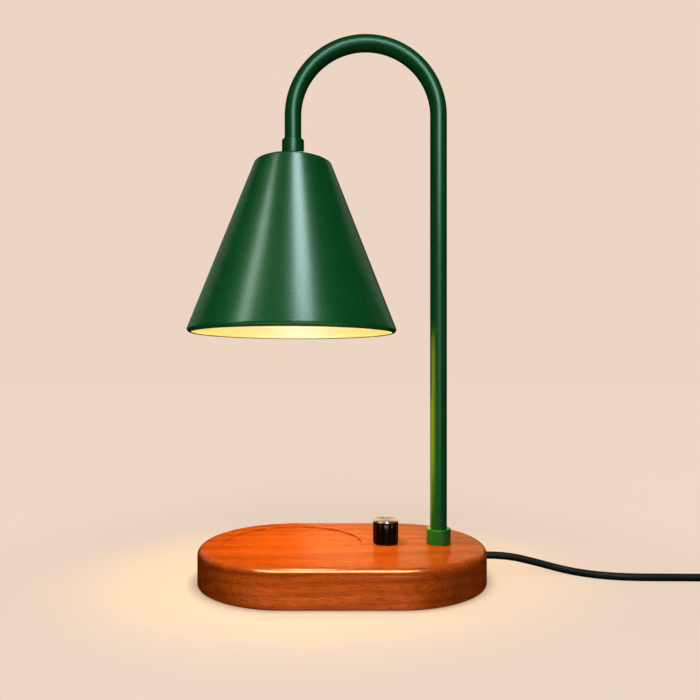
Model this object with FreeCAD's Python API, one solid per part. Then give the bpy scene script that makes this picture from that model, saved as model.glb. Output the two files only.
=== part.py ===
"""Candle warmer lamp: a wooden stadium base with a rotary dimmer, a bent tube arm, and a conical
metal shade that holds a twist-lock reflector bulb above a shallow seat for a jar candle.

Frame: millimetres, +Z up, +X along the base towards the post, +Y to the back. The origin is the
middle of the base, on the surface that it stands on. Each function makes one piece, and the last
section writes one STEP file for each piece.
"""

import FreeCAD, Part

import math
import os

Vec = FreeCAD.Vector
UP = Vec(0, 0, 1)

# ------------------------------------------------------------------ driving dimensions, in mm

lamp_height = 326.65  # top of the arch above the table

# Wooden block: a stadium in plan, so its width sets the radius of both ends
base_length = 171.0
base_width = 108.0
block_height = 21.0
block_top_round = 4.2
block_foot_round = 0.8
ceiling_thickness = 6.0  # wood left above the wiring pocket

# Underside: soft pad, steel cover in a rebate, countersunk screws
pad_thickness = 1.0
pad_inset = 3.0
pad_screw_window = 4.0  # radius of the hole in the pad below each screw
cover_thickness = 1.5
cover_inset = 5.0
cover_screw_inset = 10.0
cover_screw_angle = 50.0  # of the four outer screws, from +X or -X round the end's centre
cover_screw_head_radius = 2.8
cover_screw_radius = 1.5
cover_screw_length = 11.0

# Wiring pocket, routed from below: a stadium along X
pocket_past_knob = 24.0  # from the knob's axis to its left end
pocket_past_post = 15.8  # from the post's axis to its right end
pocket_width = 66.0

# Seat for the candle jar, a shallow round recess below the shade
seat_radius = 41.0
seat_depth = 0.8

# Arm: one bent tube
tube_radius = 5.0
tube_wall = 1.0
post_inset = 27.8  # from the block's right end to the post's axis
arch_radius = 43.65  # of the tube's centre line
drop_length = 28.5  # from the end of the arch to the shade's top
ferrule_radius = 7.2
ferrule_height = 8.8
collar_radius = 6.6
collar_height = 14.0
trim_round = 0.5  # round on the edges of ferrule and collar

# Thin nuts and washers on the tube's threaded ends
tube_nut_flats = 14.0
tube_nut_thickness = 3.0
tube_washer_thickness = 1.0
post_washer_radius = 8.5
shade_washer_radius = 12.0
thread_end = 0.5  # tube that stands out of a nut

# Shade: a spun cone with a flat top and a rim that is turned in
shade_top_radius = 22.8  # where the cone's line would meet the flat top
shade_rim_radius = 61.9  # at its widest
shade_height = 102.1
shade_wall = 1.0
shade_top_round = 2.2
shade_lip_radius = 2.0
shade_lip_turn = 90.0  # degrees from the widest point to the lip's edge

# Bracket and ceramic holder for the bulb
bracket_width = 12.0
bracket_reach = 11.0  # from the axis to the outside of each leg
bracket_sheet = 1.0
bracket_height = 11.3
bracket_gap = 9.0  # between the two feet, for the leads
holder_radius = 13.5
holder_height = 20.0
holder_edge = 1.2
holder_face_thickness = 2.4
holder_chamber_radius = 8.2
holder_chamber_height = 4.6
holder_screw_offset = 7.0
holder_screw_radius = 1.5
holder_screw_length = 6.0
holder_screw_head_radius = 2.6
holder_screw_head = 1.8
contact_thickness = 0.5
contact_inner_radius = 1.2
contact_outer_radius = 7.4
contact_half_angle = 50.0

# Twist-lock bulb: pins with heads, ceramic base, glass reflector, front lens, inner capsule
pin_spacing = 10.0
pin_neck_radius = 1.6
pin_head_radius = 2.5
pin_head_height = 2.2
pin_slack = 0.3  # radial clearance of a pin in its keyhole
lock_angle = 20.0  # turn between the keyhole's entry and its locked end
bulb_gap = 0.3  # between the bulb's base and the holder's face
bulb_length = 46.0
bulb_radius = 25.0
bulb_base_radius = 12.2
bulb_base_height = 14.0
bulb_wall = 1.4
bulb_rim_height = 4.0
bulb_lens_thickness = 2.0
bulb_lens_recess = 0.6
bulb_lens_dome = 0.5
capsule_radius = 5.0
capsule_length = 22.0

# Dimmer: knob on a D-shaped shaft, potentiometer, board and what stands on it
knob_to_post = 31.7  # between their axes
knob_radius = 7.7
knob_height = 14.0
knob_gap = 0.4  # between the knob and the wood
knob_flutes = 18
knob_flute_depth = 0.25
knob_wall = 1.0
knob_cap_thickness = 1.0
knob_cap_chamfer = 0.45
knob_pointer_width = 0.8
knob_pointer_depth = 0.5
shaft_radius = 3.0
shaft_flat = 1.5  # from the axis to the flat of the D
shaft_slack = 0.05  # radial clearance of the shaft in the bushing
shaft_rise = 10.0  # top of the shaft above the wood
bushing_radius = 3.5
bushing_height = 6.0
pot_radius = 8.25
pot_height = 8.0
pot_nut_flats = 10.0
pot_nut_thickness = 2.0
pot_washer_radius = 5.6
pot_washer_thickness = 0.5
pot_counterbore_radius = 6.5
pot_counterbore_depth = 3.0
board_left_reach = 18.0  # from the knob's axis to the board's left edge
board_right_reach = 20.0
board_width = 34.0
board_thickness = 1.6
board_screw_inset = 3.5
spacer_radius = 2.6
board_screw_radius = 1.3
board_screw_bite = 4.0
board_screw_head_radius = 2.4
board_screw_head = 1.4
part_margin = 1.5  # from the board's edges to what stands on it
choke_radius = 5.0
choke_height = 6.5
choke_flange = 1.0
choke_groove = 1.2
capacitor_size = Vec(5.5, 11.0, 7.0)
capacitor_y = 4.0
triac_body = Vec(8.0, 6.8, 4.0)
triac_tab = Vec(3.2, 6.8, 1.3)
triac_y = -7.0

# Cord: outlet in the base's end wall, clip inside, lead, coil and plug
cord_radius = 2.25
cord_y = 12.0
cord_z = 11.2
grommet_wall = 1.5
grommet_nose = 4.4  # how far it stands out of the wood on its own axis
grommet_nose_wall = 0.6
sheath_gap = 7.5  # from the board to the end of the sheath
core_radius = 0.9
core_spread = 1.3  # from the cord's axis to each core's axis
clip_from_sheath = 3.0
clip_width = 6.0
clip_wall = 1.7
clip_tab_length = 7.0
clip_tab_thickness = 1.5
block_body = Vec(10.0, 9.0, 7.4)  # terminal block: along X, Y, Z
lead_radius = 0.9  # of each insulated lead to the lamp holder
lead_spread = 1.9
lead_bend = 3.0
lead_landing_inset = 4.0  # from the board's right edge to where the leads are soldered

coil_centre = Vec(255.0, -38.5, 0.0)
coil_outer_turn = 33.0  # radius of the outermost turn's centre line
coil_turns_wide = 4
coil_layers = 2
turn_pitch = 4.7
tie_thickness = 0.6
tie_width = 5.0
plug_lead_reach = 20.0  # free lead between the coil's last turn and the plug
plug_body_size = Vec(21.0, 20.0, 13.0)  # along its axis, across the blades, and thick
plug_waist_size = Vec(9.45, 16.0, 11.7)  # half way along the grip
plug_neck_size = Vec(0.0, 12.4, 10.4)  # where the grip meets the strain relief
plug_face_depth = 4.2  # straight part behind the blades
plug_round = 3.0
plug_neck_round = 2.5
plug_relief_length = 15.0
plug_relief_radius = 4.2
plug_relief_tip_wall = 0.8
plug_relief_ribs = 4
plug_rib_step = 0.25  # how much smaller each rib is than the one before it
blade_size = Vec(17.0, 1.5, 6.35)
blade_spacing = 12.7
blade_chamfer = 0.5
blade_hole_radius = 1.6
blade_hole_inset = 4.0

seat_gap = 0.05  # clearance of a piece in the hole or rebate that holds it
hole_gap = 0.2  # clearance of the tube, screws and bushings in drilled holes

# ------------------------------------------------------------------ places worked out from them

block_foot_z = pad_thickness
base_top_z = pad_thickness + block_height
ceiling_z = base_top_z - ceiling_thickness
cover_top_z = block_foot_z + cover_thickness
end_radius = base_width / 2
end_x = base_length / 2 - end_radius
post_x = base_length / 2 - post_inset
shade_x = post_x - 2 * arch_radius
knob_x = post_x - knob_to_post
pocket_left_x = knob_x - pocket_past_knob
pocket_right_x = post_x + pocket_past_post
board_left_x = knob_x - board_left_reach
board_right_x = knob_x + board_right_reach
lead_landing_x = board_right_x - lead_landing_inset
sheath_end_x = board_right_x + sheath_gap
clip_x = sheath_end_x + clip_from_sheath
arch_z = lamp_height - tube_radius - arch_radius
shade_top_z = arch_z - drop_length
post_foot_z = ceiling_z - tube_washer_thickness - tube_nut_thickness - thread_end
bracket_top_z = shade_top_z - shade_wall - tube_washer_thickness
tube_end_z = bracket_top_z - bracket_sheet - tube_nut_thickness - thread_end
holder_top_z = bracket_top_z - bracket_height
holder_face_z = holder_top_z - holder_height
chamber_top_z = holder_face_z + holder_face_thickness + holder_chamber_height
bulb_top_z = holder_face_z - bulb_gap
board_top_z = ceiling_z - pot_height
tube_bore = tube_radius - tube_wall
lead_z = board_top_z + lead_radius
wall_x = end_x + math.sqrt(end_radius**2 - cord_y**2)  # the wood's end face on the cord's axis
nose_x = wall_x + grommet_nose

# The lead's route from the outlet to the coil: out level, down to the table, then along it
coil_foot_z = tie_thickness + cord_radius
coil_top_layer_z = coil_foot_z + (coil_layers - 1) * turn_pitch
cord_route = [
    Vec(nose_x, cord_y, cord_z),
    Vec(100.5, cord_y, cord_z),
    Vec(118.0, 11.9, 7.3),
    Vec(136.5, 11.2, cord_radius + 0.1),
    Vec(151.0, 1.6, cord_radius),
    Vec(170.0, -3.2, cord_radius),
    Vec(196.0, -3.5, cord_radius),
    Vec(222.0, -4.0, cord_radius),
    Vec(241.0, -5.2, cord_radius + 0.1),
    coil_centre + Vec(0, coil_outer_turn, coil_foot_z),
]
plug_z = plug_body_size.z / 2
plug_tail = coil_centre + Vec(-plug_lead_reach, -coil_outer_turn, plug_z)
plug_route = [
    coil_centre + Vec(0, -coil_outer_turn, coil_top_layer_z),
    coil_centre + Vec(-plug_lead_reach / 2, -coil_outer_turn - 0.2, (coil_top_layer_z + plug_z) / 2 - 0.2),
    plug_tail,
]


# ------------------------------------------------------------------ helpers


def rod(radius, start, end):
    """A round bar from one point to another."""
    along = end - start
    return Part.makeCylinder(radius, along.Length, start, along)


def upright(radius, x, y, z_low, z_high):
    """A round bar that stands along Z."""
    return rod(radius, Vec(x, y, z_low), Vec(x, y, z_high))


def ring(outer, inner, x, y, z_low, z_high):
    """An upright washer or sleeve."""
    return upright(outer, x, y, z_low, z_high).cut(upright(inner, x, y, z_low - 1, z_high + 1))


def block(low, high):
    """A box between two corners."""
    size = high - low
    return Part.makeBox(size.x, size.y, size.z, low)


def hexagon(flats, x, y, z_low, z_high):
    """A hexagonal prism with two corners along X."""
    corner = flats / 2 / math.cos(math.radians(30))
    points = [
        Vec(x + corner * math.cos(math.radians(60 * k)), y + corner * math.sin(math.radians(60 * k)), z_low)
        for k in range(7)
    ]
    return Part.Face(Part.makePolygon(points)).extrude(Vec(0, 0, z_high - z_low))


def stadium(left_x, right_x, width, z_low, z_high):
    """A prism on a stadium: two straight sides along X joined by half circles."""
    r = width / 2
    a, b = left_x + r, right_x - r
    outline = Part.Wire(
        [
            Part.LineSegment(Vec(a, -r, z_low), Vec(b, -r, z_low)).toShape(),
            Part.Arc(Vec(b, -r, z_low), Vec(right_x, 0, z_low), Vec(b, r, z_low)).toShape(),
            Part.LineSegment(Vec(b, r, z_low), Vec(a, r, z_low)).toShape(),
            Part.Arc(Vec(a, r, z_low), Vec(left_x, 0, z_low), Vec(a, -r, z_low)).toShape(),
        ]
    )
    return Part.Face(outline).extrude(Vec(0, 0, z_high - z_low))


def inset_stadium(inset, z_low, z_high):
    """A stadium prism whose outline lies inside the block's by the given distance."""
    half = base_length / 2 - inset
    return stadium(-half, half, base_width - 2 * inset, z_low, z_high)


def revolved(edges, x, z):
    """Turns a closed profile, drawn in the XZ plane with X as the radius, about an upright axis."""
    face = Part.Face(Part.Wire(edges))
    solid = face.revolve(Vec(0, 0, 0), UP, 360)
    solid.translate(Vec(x, 0, z))
    return solid


def line(p, q):
    """A straight edge between two (radius, height) pairs."""
    return Part.LineSegment(Vec(p[0], 0, p[1]), Vec(q[0], 0, q[1])).toShape()


def arc(p, middle, q):
    """A round edge through three (radius, height) pairs."""
    return Part.Arc(Vec(p[0], 0, p[1]), Vec(middle[0], 0, middle[1]), Vec(q[0], 0, q[1])).toShape()


def outline(points):
    """The closed run of straight edges through (radius, height) pairs."""
    return [line(p, q) for p, q in zip(points, points[1:] + points[:1])]


def swept(path, radius):
    """A round bar along a path of straight and round edges."""
    start = path.Edges[0]
    tangent = start.tangentAt(start.FirstParameter)
    circle = Part.Wire(Part.Circle(start.valueAt(start.FirstParameter), tangent, radius).toShape())
    return path.makePipeShell([circle], True, False)


def cord_path(points):
    """Straight runs joined by tangent arcs, each as large as its two runs allow, and their radii."""
    edges, radii = [], []
    here = points[0]
    for before, corner, after in zip(points, points[1:], points[2:]):
        a, b = corner - before, after - corner
        turn = a.getAngle(b)
        trim = 0.45 * min(a.Length, b.Length)
        a.normalize()
        b.normalize()
        begin, end = corner - a * trim, corner + b * trim
        radius = trim / math.tan(turn / 2)
        inward = (b - a).normalize()
        centre = corner + inward * math.hypot(radius, trim)
        middle = centre - inward * radius
        edges += [Part.LineSegment(here, begin).toShape(), Part.Arc(begin, middle, end).toShape()]
        radii.append(radius)
        here = end
    edges.append(Part.LineSegment(here, points[-1]).toShape())
    return Part.Wire(edges), radii


def turned(shape, x, degrees):
    """A copy of a shape turned about the upright axis at x."""
    copy = shape.copy()
    copy.rotate(Vec(x, 0, 0), UP, degrees)
    return copy


def sector(inner, outer, x, middle_angle, half_angle, z_low, z_high):
    """A piece of a flat ring about the upright axis at x, centred on an angle in degrees."""
    whole = Part.makeCylinder(outer, z_high - z_low, Vec(0, 0, 0), UP, 2 * half_angle)
    whole = whole.cut(Part.makeCylinder(inner, z_high - z_low, Vec(0, 0, 0), UP, 360))
    whole.rotate(Vec(0, 0, 0), UP, middle_angle - half_angle)
    whole.translate(Vec(x, 0, z_low))
    return whole


def cover_screw_places():
    """The six screw centres on a line that runs round inside the block's edge."""
    r = end_radius - cover_screw_inset
    a = math.radians(cover_screw_angle)
    ends = [(sx * (end_x + r * math.cos(a)), sy * r * math.sin(a)) for sx in (-1, 1) for sy in (-1, 1)]
    return ends + [(0, -r), (0, r)]


def board_screw_places():
    """Two opposite corners of the board, clear of the terminal block."""
    y = board_width / 2 - board_screw_inset
    return [(board_left_x + board_screw_inset, y), (board_right_x - board_screw_inset, -y)]


# ------------------------------------------------------------------ base


def wood_block():
    """The block with its rounded edges, candle seat, wiring pocket, rebate and drilled holes."""
    solid = inset_stadium(0, block_foot_z, base_top_z)
    top = [e for e in solid.Edges if abs(e.CenterOfMass.z - base_top_z) < 1e-6]
    solid = solid.makeFillet(block_top_round, top)
    foot = [e for e in solid.Edges if abs(e.CenterOfMass.z - block_foot_z) < 1e-6]
    solid = solid.makeFillet(block_foot_round, foot)
    solid = solid.cut(upright(seat_radius, shade_x, 0, base_top_z - seat_depth, base_top_z + 1))
    solid = solid.cut(stadium(pocket_left_x, pocket_right_x, pocket_width, 0, ceiling_z))
    solid = solid.cut(inset_stadium(cover_inset, 0, cover_top_z))
    solid = solid.cut(upright(tube_radius + hole_gap, post_x, 0, 0, base_top_z + 1))
    solid = solid.cut(upright(bushing_radius + hole_gap, knob_x, 0, 0, base_top_z + 1))
    counterbore_z = base_top_z - pot_counterbore_depth
    solid = solid.cut(upright(pot_counterbore_radius, knob_x, 0, counterbore_z, base_top_z + 1))
    outlet = rod(cord_radius + grommet_wall, Vec(end_x, cord_y, cord_z), Vec(base_length, cord_y, cord_z))
    solid = solid.cut(outlet)
    for x, y in cover_screw_places():
        solid = solid.cut(upright(cover_screw_radius, x, y, 0, block_foot_z + cover_screw_length))
    for x, y in board_screw_places():
        solid = solid.cut(upright(board_screw_radius, x, y, 0, ceiling_z + board_screw_bite))
    x, y = clip_screw_place()
    return solid.cut(upright(board_screw_radius, x, y, 0, ceiling_z + board_screw_bite))


def bottom_cover():
    """The steel sheet that closes the pocket, countersunk for its screws."""
    solid = inset_stadium(cover_inset + hole_gap, block_foot_z, cover_top_z)
    for x, y in cover_screw_places():
        hole = upright(cover_screw_radius + hole_gap, x, y, 0, cover_top_z + 1)
        sink = Part.makeCone(
            cover_screw_head_radius + seat_gap,
            cover_screw_radius + hole_gap,
            cover_thickness,
            Vec(x, y, block_foot_z),
        )
        solid = solid.cut(hole.fuse(sink))
    return solid


def cover_screws():
    """Six countersunk wood screws, flush with the cover."""
    screws = []
    for x, y in cover_screw_places():
        head = Part.makeCone(cover_screw_head_radius, cover_screw_radius, cover_thickness, Vec(x, y, block_foot_z))
        shank_top = block_foot_z + cover_screw_length - 1
        shank = upright(cover_screw_radius - seat_gap, x, y, cover_top_z - 0.5, shank_top)
        slot = block(
            Vec(x - cover_screw_head_radius / 2, y - 0.35, block_foot_z - 1),
            Vec(x + cover_screw_head_radius / 2, y + 0.35, block_foot_z + 0.6),
        )
        screws.append(head.fuse(shank).cut(slot.fuse(slot_across(slot, x, y))))
    return screws


def slot_across(slot, x, y):
    """The second bar of a cross recess."""
    bar = slot.copy()
    bar.rotate(Vec(x, y, 0), UP, 90)
    return bar


def non_slip_pad():
    """The soft sheet under the base, with a window below each screw."""
    solid = inset_stadium(pad_inset, 0, pad_thickness)
    for x, y in cover_screw_places():
        solid = solid.cut(upright(pad_screw_window, x, y, -1, pad_thickness + 1))
    return solid


# ------------------------------------------------------------------ arm


def arm_path(y, foot_z, end_z):
    """Up the post, over the arch and down to the shade, in the plane at y."""
    left, right = post_x - 2 * arch_radius, post_x
    up = Part.LineSegment(Vec(right, y, foot_z), Vec(right, y, arch_z)).toShape()
    over = Part.Arc(
        Vec(right, y, arch_z), Vec((left + right) / 2, y, arch_z + arch_radius), Vec(left, y, arch_z)
    ).toShape()
    down = Part.LineSegment(Vec(left, y, arch_z), Vec(left, y, end_z)).toShape()
    return up, over, down


def arm_tube():
    """The bent tube: post, arch and drop in one piece, open at both ends."""
    path = Part.Wire(list(arm_path(0, post_foot_z, tube_end_z)))
    return swept(path, tube_radius).cut(swept(path, tube_bore))


def trim_ring(outer, height, x, z):
    """A ferrule or collar on the tube, with both outer edges rounded."""
    inner = tube_radius + seat_gap
    r = trim_round
    k = r * (1 - math.sqrt(0.5))
    edges = [
        line((inner, 0), (outer - r, 0)),
        arc((outer - r, 0), (outer - k, k), (outer, r)),
        line((outer, r), (outer, height - r)),
        arc((outer, height - r), (outer - k, height - k), (outer - r, height)),
        line((outer - r, height), (inner, height)),
        line((inner, height), (inner, 0)),
    ]
    return revolved(edges, x, z)


def base_ferrule():
    return trim_ring(ferrule_radius, ferrule_height, post_x, base_top_z)


def shade_collar():
    return trim_ring(collar_radius, collar_height, shade_x, shade_top_z)


def tube_nut(x, z_low):
    """A thin hexagon nut on the tube's thread."""
    solid = hexagon(tube_nut_flats, x, 0, z_low, z_low + tube_nut_thickness)
    return solid.cut(upright(tube_radius + seat_gap, x, 0, z_low - 1, z_low + tube_nut_thickness + 1))


def post_nut():
    return tube_nut(post_x, post_foot_z + thread_end)


def post_washer():
    return ring(post_washer_radius, tube_radius + hole_gap, post_x, 0, ceiling_z - tube_washer_thickness, ceiling_z)


def shade_nut():
    return tube_nut(shade_x, tube_end_z + thread_end)


def shade_washer():
    top = shade_top_z - shade_wall
    return ring(shade_washer_radius, tube_radius + hole_gap, shade_x, 0, top - tube_washer_thickness, top)


# ------------------------------------------------------------------ shade and lamp holder


def shade():
    """The spun cone. Its wall is tangent to the round at the top and to the lip that turns in at the rim."""
    lip, turn, wall = shade_lip_radius, math.radians(shade_lip_turn), shade_wall
    centre = Vec(shade_rim_radius - lip, 0, lip * math.sin(turn) - shade_height)
    reach = centre - Vec(shade_top_radius, 0, 0)
    slope = math.atan2(reach.z, reach.x) + math.asin(lip / reach.Length)
    out = Vec(-math.sin(slope), 0, math.cos(slope))
    half = -slope / 2
    flat_end = shade_top_radius - shade_top_round * math.tan(half)
    hub = Vec(flat_end, 0, -shade_top_round)
    bisector = Vec(math.sin(half), 0, math.cos(half))
    edge = Vec(math.cos(turn), 0, -math.sin(turn))
    sideways = Vec(1, 0, 0)
    inner_round, inner_lip = shade_top_round - wall, lip - wall
    hole = tube_radius + hole_gap
    corners = [
        Vec(hole, 0, 0),
        Vec(flat_end, 0, 0),
        hub + bisector * shade_top_round,
        hub + out * shade_top_round,
        centre + out * lip,
        centre + sideways * lip,
        centre + edge * lip,
        centre + edge * inner_lip,
        centre + sideways * inner_lip,
        centre + out * inner_lip,
        hub + out * inner_round,
        hub + bisector * inner_round,
        hub + UP * inner_round,
        Vec(hole, 0, -wall),
    ]
    p = [(c.x, c.z) for c in corners]
    edges = [
        line(p[0], p[1]),
        arc(p[1], p[2], p[3]),
        line(p[3], p[4]),
        arc(p[4], p[5], p[6]),
        line(p[6], p[7]),
        arc(p[7], p[8], p[9]),
        line(p[9], p[10]),
        arc(p[10], p[11], p[12]),
        line(p[12], p[13]),
        line(p[13], p[0]),
    ]
    return revolved(edges, shade_x, shade_top_z)


def holder_bracket():
    """A bent strap: the tube passes its top, and two inward feet carry the ceramic holder."""
    t, reach, half = bracket_sheet, bracket_reach, bracket_width / 2
    foot_z = bracket_top_z - bracket_height
    outside = block(Vec(-reach, -half, foot_z), Vec(reach, half, bracket_top_z))
    hollow = block(Vec(t - reach, -half - 1, foot_z + t), Vec(reach - t, half + 1, bracket_top_z - t))
    gap = block(Vec(-bracket_gap / 2, -half - 1, foot_z - 1), Vec(bracket_gap / 2, half + 1, foot_z + t + 1))
    solid = outside.cut(hollow).cut(gap)
    bends = [e for e in solid.Edges if abs(abs(e.CenterOfMass.x) - reach) < 1e-6 and e.Length > bracket_width - 1e-6]
    solid = solid.makeFillet(t * 0.9, [e for e in bends if abs(e.CenterOfMass.y) < 1e-6])
    solid = solid.cut(upright(tube_radius + hole_gap, 0, 0, bracket_top_z - t - 1, bracket_top_z + 1))
    for side in (-1, 1):
        screw = upright(holder_screw_radius + hole_gap, side * holder_screw_offset, 0, foot_z - 1, foot_z + t + 1)
        solid = solid.cut(screw)
    solid.translate(Vec(shade_x, 0, 0))
    return solid


def lamp_holder():
    """The ceramic body: two keyholes in its face, a contact chamber, lead holes and screw holes."""
    e, r, h = holder_edge, holder_radius, holder_height
    body = revolved(outline([(0, 0), (r - e, 0), (r, e), (r, h - e), (r - e, h), (0, h)]), shade_x, holder_face_z)
    face_in = holder_face_z + holder_face_thickness
    body = body.cut(upright(holder_chamber_radius, shade_x, 0, face_in, chamber_top_z))
    slot_half = pin_neck_radius + pin_slack
    for side in (90, 270):
        entry = turned(upright(pin_head_radius + pin_slack, pin_spacing / 2, 0, 0, face_in + 1), 0, side - lock_angle)
        end = turned(upright(slot_half, pin_spacing / 2, 0, 0, face_in + 1), 0, side)
        for hole in (entry, end):
            hole.translate(Vec(shade_x, 0, 0))
            body = body.cut(hole)
        middle = side - lock_angle / 2
        inner, outer = pin_spacing / 2 - slot_half, pin_spacing / 2 + slot_half
        body = body.cut(sector(inner, outer, shade_x, middle, lock_angle / 2, holder_face_z - 1, face_in + 1))
        y = lead_spread if side == 90 else -lead_spread
        body = body.cut(upright(lead_radius + hole_gap, shade_x, y, chamber_top_z - 1, holder_top_z + 1))
        x = shade_x + (holder_screw_offset if side == 90 else -holder_screw_offset)
        depth = holder_screw_length + 1 - bracket_sheet
        body = body.cut(upright(holder_screw_radius, x, 0, holder_top_z - depth, holder_top_z + 1))
    return body


def holder_screws():
    """Two small screws that clamp the bracket's feet to the ceramic."""
    screws = []
    for side in (-1, 1):
        x = shade_x + side * holder_screw_offset
        seat = holder_top_z + bracket_sheet
        shank = upright(holder_screw_radius - seat_gap, x, 0, seat - holder_screw_length, seat)
        screws.append(shank.fuse(upright(holder_screw_head_radius, x, 0, seat, seat + holder_screw_head)))
    return screws


def holder_contacts():
    """Two spring leaves at the top of the chamber, each above one pin and below one lead."""
    low = chamber_top_z - contact_thickness
    return [
        sector(contact_inner_radius, contact_outer_radius, shade_x, side, contact_half_angle, low, chamber_top_z)
        for side in (90, 270)
    ]


def lamp_leads():
    """Two insulated leads, soldered to the board, that run inside the whole arm to the holder."""
    leads = []
    for y in (-lead_spread, lead_spread):
        up, over, down = arm_path(y, lead_z + lead_bend, chamber_top_z)
        corner = Vec(post_x - lead_bend, y, lead_z + lead_bend)
        k = lead_bend * math.sqrt(0.5)
        flat = Part.LineSegment(Vec(lead_landing_x, y, lead_z), Vec(corner.x, y, lead_z)).toShape()
        bend = Part.Arc(Vec(corner.x, y, lead_z), corner + Vec(k, 0, -k), corner + Vec(lead_bend, 0, 0)).toShape()
        leads.append(swept(Part.Wire([flat, bend, up, over, down]), lead_radius))
    return leads


# ------------------------------------------------------------------ bulb


def bulb_pins():
    """Two pins whose heads hold the bulb in the holder's keyholes."""
    head_z = holder_face_z + holder_face_thickness + pin_slack
    pins = []
    for y in (-pin_spacing / 2, pin_spacing / 2):
        neck = upright(pin_neck_radius, shade_x, y, bulb_top_z, head_z)
        pins.append(neck.fuse(upright(pin_head_radius, shade_x, y, head_z, head_z + pin_head_height)))
    return pins


def bulb_base():
    """The ceramic base behind the reflector, stepped where the glass is cemented in."""
    r, h = bulb_base_radius, bulb_base_height
    points = [(0, 0), (r - 1, 0), (r, -1), (r, -h * 0.55), (r + bulb_wall, -h * 0.7), (r + bulb_wall, -h), (0, -h)]
    return revolved(outline(points), shade_x, bulb_top_z)


def bulb_reflector():
    """The flared glass bowl with a straight rim that holds the lens."""
    low, rim = -bulb_length, bulb_rim_height - bulb_length
    top = -bulb_base_height
    neck = bulb_base_radius + bulb_wall
    bulge = (neck + (bulb_radius - neck) * 0.66, top + (rim - top) * 0.42)
    w = bulb_wall
    edges = [
        line((neck - w, top), (neck, top)),
        arc((neck, top), bulge, (bulb_radius, rim)),
        line((bulb_radius, rim), (bulb_radius, low)),
        line((bulb_radius, low), (bulb_radius - w, low)),
        line((bulb_radius - w, low), (bulb_radius - w, rim)),
        arc((bulb_radius - w, rim), (bulge[0] - w, bulge[1]), (neck - w, top)),
    ]
    return revolved(edges, shade_x, bulb_top_z)


def bulb_lens():
    """The front glass, seated inside the rim and slightly domed: its front is a cap of a sphere."""
    r = bulb_radius - bulb_wall - seat_gap
    low = bulb_lens_recess - bulb_length
    back = low + bulb_lens_thickness
    sphere = (r**2 + bulb_lens_dome**2) / (2 * bulb_lens_dome)
    pole = low - bulb_lens_dome
    half_way = pole + sphere - math.sqrt(sphere**2 - (r / 2) ** 2)
    edges = [
        line((0, back), (r, back)),
        line((r, back), (r, low)),
        arc((r, low), (r / 2, half_way), (0, pole)),
        line((0, pole), (0, back)),
    ]
    return revolved(edges, shade_x, bulb_top_z)


def bulb_capsule():
    """The halogen capsule that stands on the base's middle."""
    r, h = capsule_radius, capsule_length
    k = r * math.sqrt(0.5)
    low = -bulb_base_height - h
    edges = [
        line((0, -bulb_base_height), (r, -bulb_base_height)),
        line((r, -bulb_base_height), (r, low + r)),
        arc((r, low + r), (k, low + r - k), (0, low)),
        line((0, low), (0, -bulb_base_height)),
    ]
    return revolved(edges, shade_x, bulb_top_z)


# ------------------------------------------------------------------ dimmer


def d_shape(radius, flat, z_low, z_high):
    """A round bar with a flat on its +X side, on the knob's axis."""
    bar = upright(radius, knob_x, 0, z_low, z_high)
    side = block(Vec(knob_x + flat, -2 * radius, z_low - 1), Vec(knob_x + 2 * radius, 2 * radius, z_high + 1))
    return bar.cut(side)


def knob_body():
    """The fluted knob, hollow below and bored for the shaft's D, with a pointer groove."""
    low, high = base_top_z + knob_gap, base_top_z + knob_height - knob_cap_thickness
    step = 2 * math.pi / knob_flutes

    def at(angle, depth):
        r = knob_radius - depth
        return Vec(knob_x + r * math.cos(angle), r * math.sin(angle), low)

    edges = []
    for k in range(knob_flutes):
        a = k * step
        land = Part.Arc(at(a - step / 6, 0), at(a, 0), at(a + step / 6, 0))
        flute = Part.Arc(at(a + step / 6, 0), at(a + step / 2, knob_flute_depth), at(a + step * 5 / 6, 0))
        edges += [land.toShape(), flute.toShape()]
    solid = Part.Face(Part.Wire(edges)).extrude(Vec(0, 0, high - low))
    shaft_top = base_top_z + shaft_rise
    hub = shaft_radius + knob_wall
    solid = solid.cut(ring(knob_radius - knob_flute_depth - knob_wall, hub, knob_x, 0, low - 1, shaft_top - 2))
    solid = solid.cut(d_shape(shaft_radius + seat_gap, shaft_flat + seat_gap, low - 1, shaft_top + seat_gap))
    pointer = block(
        Vec(knob_x + knob_radius - knob_pointer_depth, -knob_pointer_width / 2, low - 1),
        Vec(knob_x + knob_radius + 1, knob_pointer_width / 2, high + 1),
    )
    return solid.cut(pointer)


def knob_cap():
    """The turned metal disc on the knob, chamfered round its top edge."""
    r = knob_radius - knob_flute_depth / 2
    t, c = knob_cap_thickness, knob_cap_chamfer
    return revolved(outline([(0, 0), (r, 0), (r, t - c), (r - c, t), (0, t)]), knob_x, base_top_z + knob_height - t)


def dimmer_shaft():
    """Round in the potentiometer, with a flat where the knob sits."""
    wood_top = base_top_z + knob_gap
    low = board_top_z + 1 + seat_gap
    lower = upright(shaft_radius, knob_x, 0, low, wood_top)
    return lower.fuse(d_shape(shaft_radius, shaft_flat, wood_top, base_top_z + shaft_rise))


def dimmer_pot():
    """The potentiometer's can and threaded bushing, bored for the shaft."""
    can = upright(pot_radius, knob_x, 0, board_top_z, ceiling_z)
    bushing = upright(bushing_radius, knob_x, 0, ceiling_z, ceiling_z + bushing_height)
    bore = upright(shaft_radius + shaft_slack, knob_x, 0, board_top_z + 1, base_top_z + 1)
    return can.fuse(bushing).cut(bore)


def dimmer_washer():
    z = base_top_z - pot_counterbore_depth
    return ring(pot_washer_radius, bushing_radius + hole_gap, knob_x, 0, z, z + pot_washer_thickness)


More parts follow.
